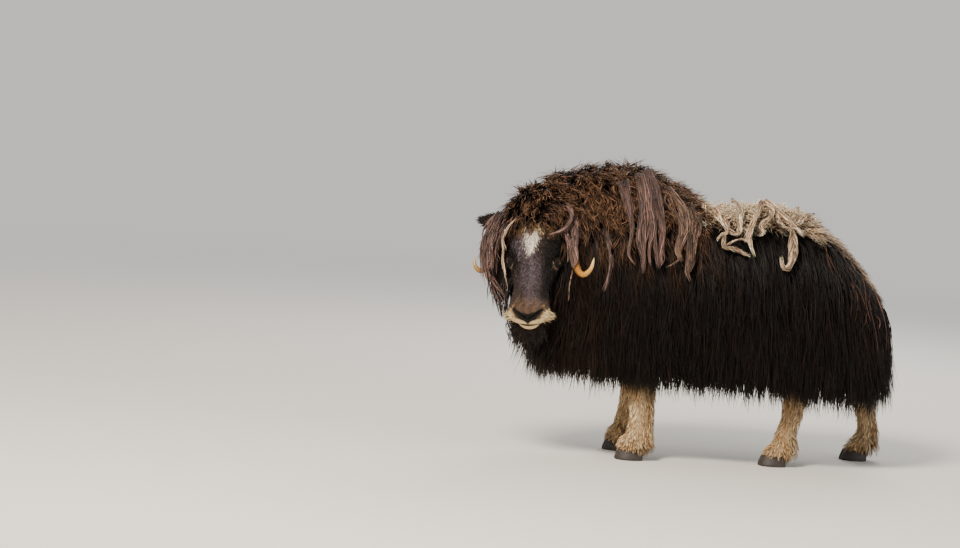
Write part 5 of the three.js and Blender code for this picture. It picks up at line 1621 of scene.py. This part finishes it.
ear_rng = np.random.default_rng(311)
for name, way in (("ear_left", 1), ("ear_right", -1)):
    form = ear_form(way)
    ear = mesh_object("furred_" + name, form[0] + FLOOR_SHIFT, form[1])
    add_colours(ear, np.tile(tone(EAR_SKIN), (len(form[0]), 1)))
    add_unwrap(ear, head_unwrap(form[0]) * 0.3)
    ear.data.materials.append(short_fur)
    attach(ear, "root")
    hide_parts(name)
    spots, normals = scatter(form, EAR_TUFTS, ear_rng)
    side = head_place(spots)[0]
    away = spots - ear_axis(side, np.clip((side * way - EAR_START) / EAR_LENGTH, 0, 1))
    face_outward(normals, away)
    growth = unit(way * SIDE + 0.35 * away / 0.03 + ear_rng.normal(0, 0.2, (len(spots), 3)))
    long = ear_rng.uniform(0.012, 0.026, len(spots))
    paths = lying_hairs(spots, normals, along_skin(growth, normals, 0.8), long, 0.3, 0.001, 3, lambda t: t)
    tints = tones(EAR_COLOURS)[None] * uneven(ear_rng, 0.3, len(spots), 1, 1)
    coat_piece("fur_of_" + name, paths, np.repeat(normals[:, None], 4, 1), tints, head_unwrap(spots),
               np.full(len(spots), 0.0034), 3, guard_hair, ear_rng)


# Horns: each leaves the crown, runs down beside the cheek and hooks out and up to a fine tip. Solid keratin,
# ridged near the base and smooth amber towards a pale tip.
HORN_ROUTE = [
    (0.062, 0.028, -0.062), (0.112, 0.040, -0.060), (0.152, 0.092, -0.054), (0.172, 0.165, -0.044),
    (0.187, 0.226, -0.030), (0.210, 0.272, -0.012), (0.236, 0.286, 0.006), (0.262, 0.264, 0.022),
    (0.272, 0.222, 0.034),
]
# The right horn's hook is a little shorter and closer.
RIGHT_HOOK = [
    (0.205, 0.262, -0.020), (0.224, 0.272, -0.010), (0.242, 0.252, 0.002), (0.246, 0.216, 0.010),
]
horn_radius = profile(
    (0, 0.027), (0.15, 0.027), (0.30, 0.025), (0.45, 0.021), (0.60, 0.0165), (0.75, 0.0125), (0.88, 0.009),
    (0.96, 0.005), (1, 0.001),
)
HORN_STEPS, HORN_AROUND = 110, 40
HORN_COLOURS = [
    (0, "#1E1510"), (0.35, "#2E2014"), (0.55, "#5A3816"), (0.72, "#9A6420"), (0.88, "#C08E3C"),
    (0.96, "#D8B878"), (1, "#E2CB9C"),
]


def horn_form(way):
    points = HORN_ROUTE if way > 0 else HORN_ROUTE[:5] + RIGHT_HOOK
    route = smooth_route([on_head(way * s, f, w) for s, f, w in points], HORN_STEPS)
    ahead = unit(np.gradient(route, axis=0))
    u = unit(np.cross(ahead, FRONT))
    v = np.cross(u, ahead)
    t = np.linspace(0, 1, HORN_STEPS + 1)
    ridge = 1 + 0.035 * np.sin(t * 150) * smooth(0.5, 0.2, t)
    angle = 2 * np.pi * np.arange(HORN_AROUND) / HORN_AROUND
    flutes = 1 + 0.012 * np.sin(angle * 9)[None] * smooth(0.8, 0.4, t)[:, None]
    radius = (horn_radius(t) * ridge)[:, None] * flutes
    rings = route[:, None] + (radius * np.cos(angle))[..., None] * u[:, None] \
        + (radius * np.sin(angle))[..., None] * v[:, None]
    at, colours = zip(*HORN_COLOURS)
    colours = tones(colours)
    shade = np.stack([np.interp(t, at, colours[:, c]) for c in range(3)], 1)
    shade = np.repeat(shade, HORN_AROUND, 0)
    return loft(rings), np.concatenate([shade, shade[:1], shade[-1:]])


# Rubbed horn has a soft gloss, and its thin tip lets a little light in. Its streaks of growth are 3 to 11 mm
# wide, and its fine scratches, drawn coarser than they are, about a millimetre.
horn = new_material("smooth amber horn")
place = add_node(horn, "ShaderNodeTexCoord")
streaks = add_node(horn, "ShaderNodeTexNoise", {"Scale": 90.0, "Detail": 5.0}, Vector=place.outputs["Object"])
scratches = add_node(horn, "ShaderNodeTexNoise", {"Scale": 700.0, "Detail": 2.0},
                     Vector=place.outputs["Object"])
worn = add_node(horn, "ShaderNodeMapRange", {"To Min": 0.28, "To Max": 0.5}, Value=scratches.outputs["Fac"])
relief = add_node(horn, "ShaderNodeBump", {"Strength": 0.3, "Distance": 0.0008},
                  Height=streaks.outputs["Fac"])
finish_material(horn, add_node(horn, "ShaderNodeBsdfPrincipled", {
    "IOR": 1.54,
    "Subsurface Weight": 0.08,
    "Subsurface Radius": (0.006, 0.003, 0.001),
}, Base_Color=shaded_colour(horn, streaks, 0.65, 1.3), Roughness=worn.outputs["Result"],
    Normal=relief.outputs["Normal"]))
# The right horn is painted darker: painted shade of the loose wool that hangs over it. The left horn's colour
# is lowered only a little.
for name, way, tone_and_painted_shade in (("horn_left", 1, 0.9), ("horn_right", -1, 0.45)):
    form, shade = horn_form(way)
    made = mesh_object("curved_" + name, form[0] + FLOOR_SHIFT, form[1] if way > 0 else form[1][:, ::-1])
    # Painted shade darkens the right horn's colours.
    add_colours(made, shade * tone_and_painted_shade)
    made.data.materials.append(horn)
    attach(made, "root")
    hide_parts(name)


# Eyes: wet dark brown balls with a level oval pupil and a clear cornea that bulges a little. They are set
# deep under the lids.
EYE_STEPS, EYE_AROUND = 30, 48
EYE_COLOURS = {"white": "#1A100C", "iris": "#3A2414", "pupil": "#050404"}
# The wet film gives a small sharp highlight. A mottle of about a millimetre breaks up the brown.
eye = new_material("wet dark brown eye")
place = add_node(eye, "ShaderNodeTexCoord")
fibres = add_node(eye, "ShaderNodeTexNoise", {"Scale": 900.0, "Detail": 3.0}, Vector=place.outputs["Object"])
finish_material(eye, add_node(eye, "ShaderNodeBsdfPrincipled", {
    "Roughness": 0.12,
    "IOR": 1.38,
    "Coat Weight": 1.0,
    "Coat Roughness": 0.03,
}, Base_Color=shaded_colour(eye, fibres, 0.7, 1.3)))
for name, side in (("eye_left", 1), ("eye_right", -1)):
    way, long_way, short_way = eye_axes(side)
    centre = eye_centre(side)
    turn = np.linspace(0.02, np.pi - 0.02, EYE_STEPS)
    around = 2 * np.pi * np.arange(EYE_AROUND) / EYE_AROUND
    cornea = 1 + 0.06 * smooth(0.55, 0.25, turn)
    radius = EYE["radius"] * cornea
    rings = centre + (radius * np.cos(turn))[:, None, None] * way \
        + ((radius * np.sin(turn))[:, None] * np.cos(around))[..., None] * long_way \
        + ((radius * np.sin(turn))[:, None] * np.sin(around))[..., None] * short_way
    points, faces = loft(rings)
    away = (points - centre) / EYE["radius"]
    flat_long, flat_short, ahead = away @ long_way, away @ short_way, away @ way
    pupil = smooth(1.1, 0.9, np.sqrt((flat_long / 0.36) ** 2 + (flat_short / 0.20) ** 2)) * (ahead > 0)
    iris = smooth(0.70, 0.62, np.hypot(flat_long, flat_short)) * (ahead > 0)
    shade = np.tile(tone(EYE_COLOURS["white"]), (len(points), 1))
    for part, share in (("iris", iris[:, None]), ("pupil", pupil[:, None])):
        shade = shade * (1 - share) + tone(EYE_COLOURS[part]) * share
    ball = mesh_object("wet_" + name, points + FLOOR_SHIFT, faces)
    add_colours(ball, shade)
    ball.data.materials.append(eye)
    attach(ball, "root")
    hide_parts(name)


# Hooves: two claws to a foot, each a shell of dark horn with growth rings, flat inside and rounded outside.
# They grow out of the foot below the coronet and stand flat on the floor.
CLAW_OUTLINE = [
    (-60, 5), (-62, 14), (-50, 34), (-22, 51), (14, 55), (42, 46), (54, 28), (53, 12), (50, 4), (0, 3),
    (-40, 4),
]
# Height share, size, and step back at each ring, from sole to coronet.
CLAW_RINGS = [
    (0, 0.965, 0), (0.05, 0.985, 0), (0.14, 1.0, 0), (0.3, 0.985, 0.01), (0.45, 0.96, 0.02),
    (0.6, 0.93, 0.035), (0.8, 0.89, 0.055), (1.0, 0.845, 0.08),
]
# How much of its node's box a claw fills.
CLAW_FILL = 0.985
# Worn hoof horn is dull, ringed every 6 mm by its growth, and stained in blotches of one to two centimetres.
hoof = new_material("worn dark hoof horn")
place = add_node(hoof, "ShaderNodeTexCoord")
rings_of_growth = add_node(hoof, "ShaderNodeTexWave", {
    "bands_direction": "Z", "Scale": 52.0, "Distortion": 1.2, "Detail": 2.0,
}, Vector=place.outputs["Object"])
stains = add_node(hoof, "ShaderNodeTexNoise", {"Scale": 60.0, "Detail": 5.0}, Vector=place.outputs["Object"])
hoof_colours = add_node(hoof, "ShaderNodeMix", {
    "data_type": "RGBA", 6: linear("#13100D"), 7: linear("#3A3029"),
}, Factor=stains.outputs["Fac"])
hoof_relief = add_node(hoof, "ShaderNodeBump", {"Strength": 0.5, "Distance": 0.0012},
                       Height=rings_of_growth.outputs["Fac"])
hoof_wear = add_node(hoof, "ShaderNodeMapRange", {"To Min": 0.45, "To Max": 0.75},
                     Value=stains.outputs["Fac"])
finish_material(hoof, add_node(hoof, "ShaderNodeBsdfPrincipled", {
    "IOR": 1.54,
}, Base_Color=hoof_colours.outputs[2], Roughness=hoof_wear.outputs["Result"],
    Normal=hoof_relief.outputs["Normal"]))
outline = smooth_route([(px, py, 0) for px, py in CLAW_OUTLINE + CLAW_OUTLINE[:1]], 64)[:-1, :2]
outline = (outline - outline.min(0)) / (outline.max(0) - outline.min(0))
for leg_name, leg in LEGS.items():
    for claw in ("outer", "inner"):
        node = leg_name.replace("leg", "hoof") + "_" + claw
        low, high = (np.array(corner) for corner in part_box(node))
        size = high - low
        toward_minus = (low[1] + high[1]) / 2 < leg["y"] + FLOOR_SHIFT[1]
        rings = []
        for height, scale, step_back in CLAW_RINGS:
            px = low[0] + size[0] * (0.5 + (outline[:, 0] - 0.5) * scale * CLAW_FILL + step_back * 0.5)
            across = outline[:, 1] * scale * CLAW_FILL
            py = high[1] - size[1] * across if toward_minus else low[1] + size[1] * across
            rings.append(np.stack([px, py, np.full(len(px), low[2] + size[2] * height)], 1))
        points, faces = loft(rings)
        made = mesh_object("shell_" + node, points, faces if toward_minus else faces[:, ::-1])
        made.data.materials.append(hoof)
        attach(made, "root")
        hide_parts(node)


# Leg hair: shaggy golden tan guard hair, longer behind the cannon and over the hooves. It grows from the skin
# of the legs and lies downwards.
TUFTS_ON_LEG = 3000
leg_rng = np.random.default_rng(53)
leg_paths, leg_facings, leg_tints, leg_unwraps, leg_widths = [], [], [], [], []
for number, leg in enumerate(LEGS.values()):
    spots, normals = scatter(leg_form(leg), TUFTS_ON_LEG, leg_rng)
    centre_x, centre_y = leg_centre(leg, spots[:, 2])
    face_outward(normals, np.stack([spots[:, 0] - centre_x, spots[:, 1] - centre_y, np.zeros(len(spots))], 1))
    low = (spots[:, 2] > 0.048) & (spots[:, 2] < 0.40) & (np.abs(normals[:, 2]) < 0.9)
    spots, normals = spots[low], normals[low]
    rear = np.clip(normals[:, 0], 0, 1)
    z = spots[:, 2]
    hair = (0.028 + 0.022 * rear) * leg_rng.uniform(0.7, 1.15, len(z))
    hair = hair * np.interp(z, [0.05, 0.075, 0.11, 0.3], [0.85, 1.2, 1.1, 1.1])
    stand = np.interp(z, [0.05, 0.08, 0.16, 0.3], [0.45, 0.70, 0.38, 0.36])[:, None, None]
    way = unit(-UP + 0.25 * REARWARD * rear[:, None] + leg_rng.normal(0, 0.20, (len(z), 3)))
    path = lying_hairs(spots, normals, along_skin(way, normals), hair, stand, 0.003, 4,
                       lambda t: np.sin(np.pi * 0.6 * t))
    path[..., 2] = np.maximum(path[..., 2], 0.008)
    leg_paths.append(path)
    leg_facings.append(np.repeat(normals[:, None], 5, 1))
    tint = leg_colours(spots, leg_rng, 0.28)
    leg_tints.append(tint[:, None] * np.array([0.5, 0.95, 1.2])[None, :, None])
    leg_unwraps.append(leg_unwrap(spots, number))
    leg_widths.append(np.full(len(z), 0.0042))
coat_piece("leg_hair", np.concatenate(leg_paths), np.concatenate(leg_facings), np.concatenate(leg_tints),
           np.concatenate(leg_unwraps), np.concatenate(leg_widths), 3, guard_hair, leg_rng)
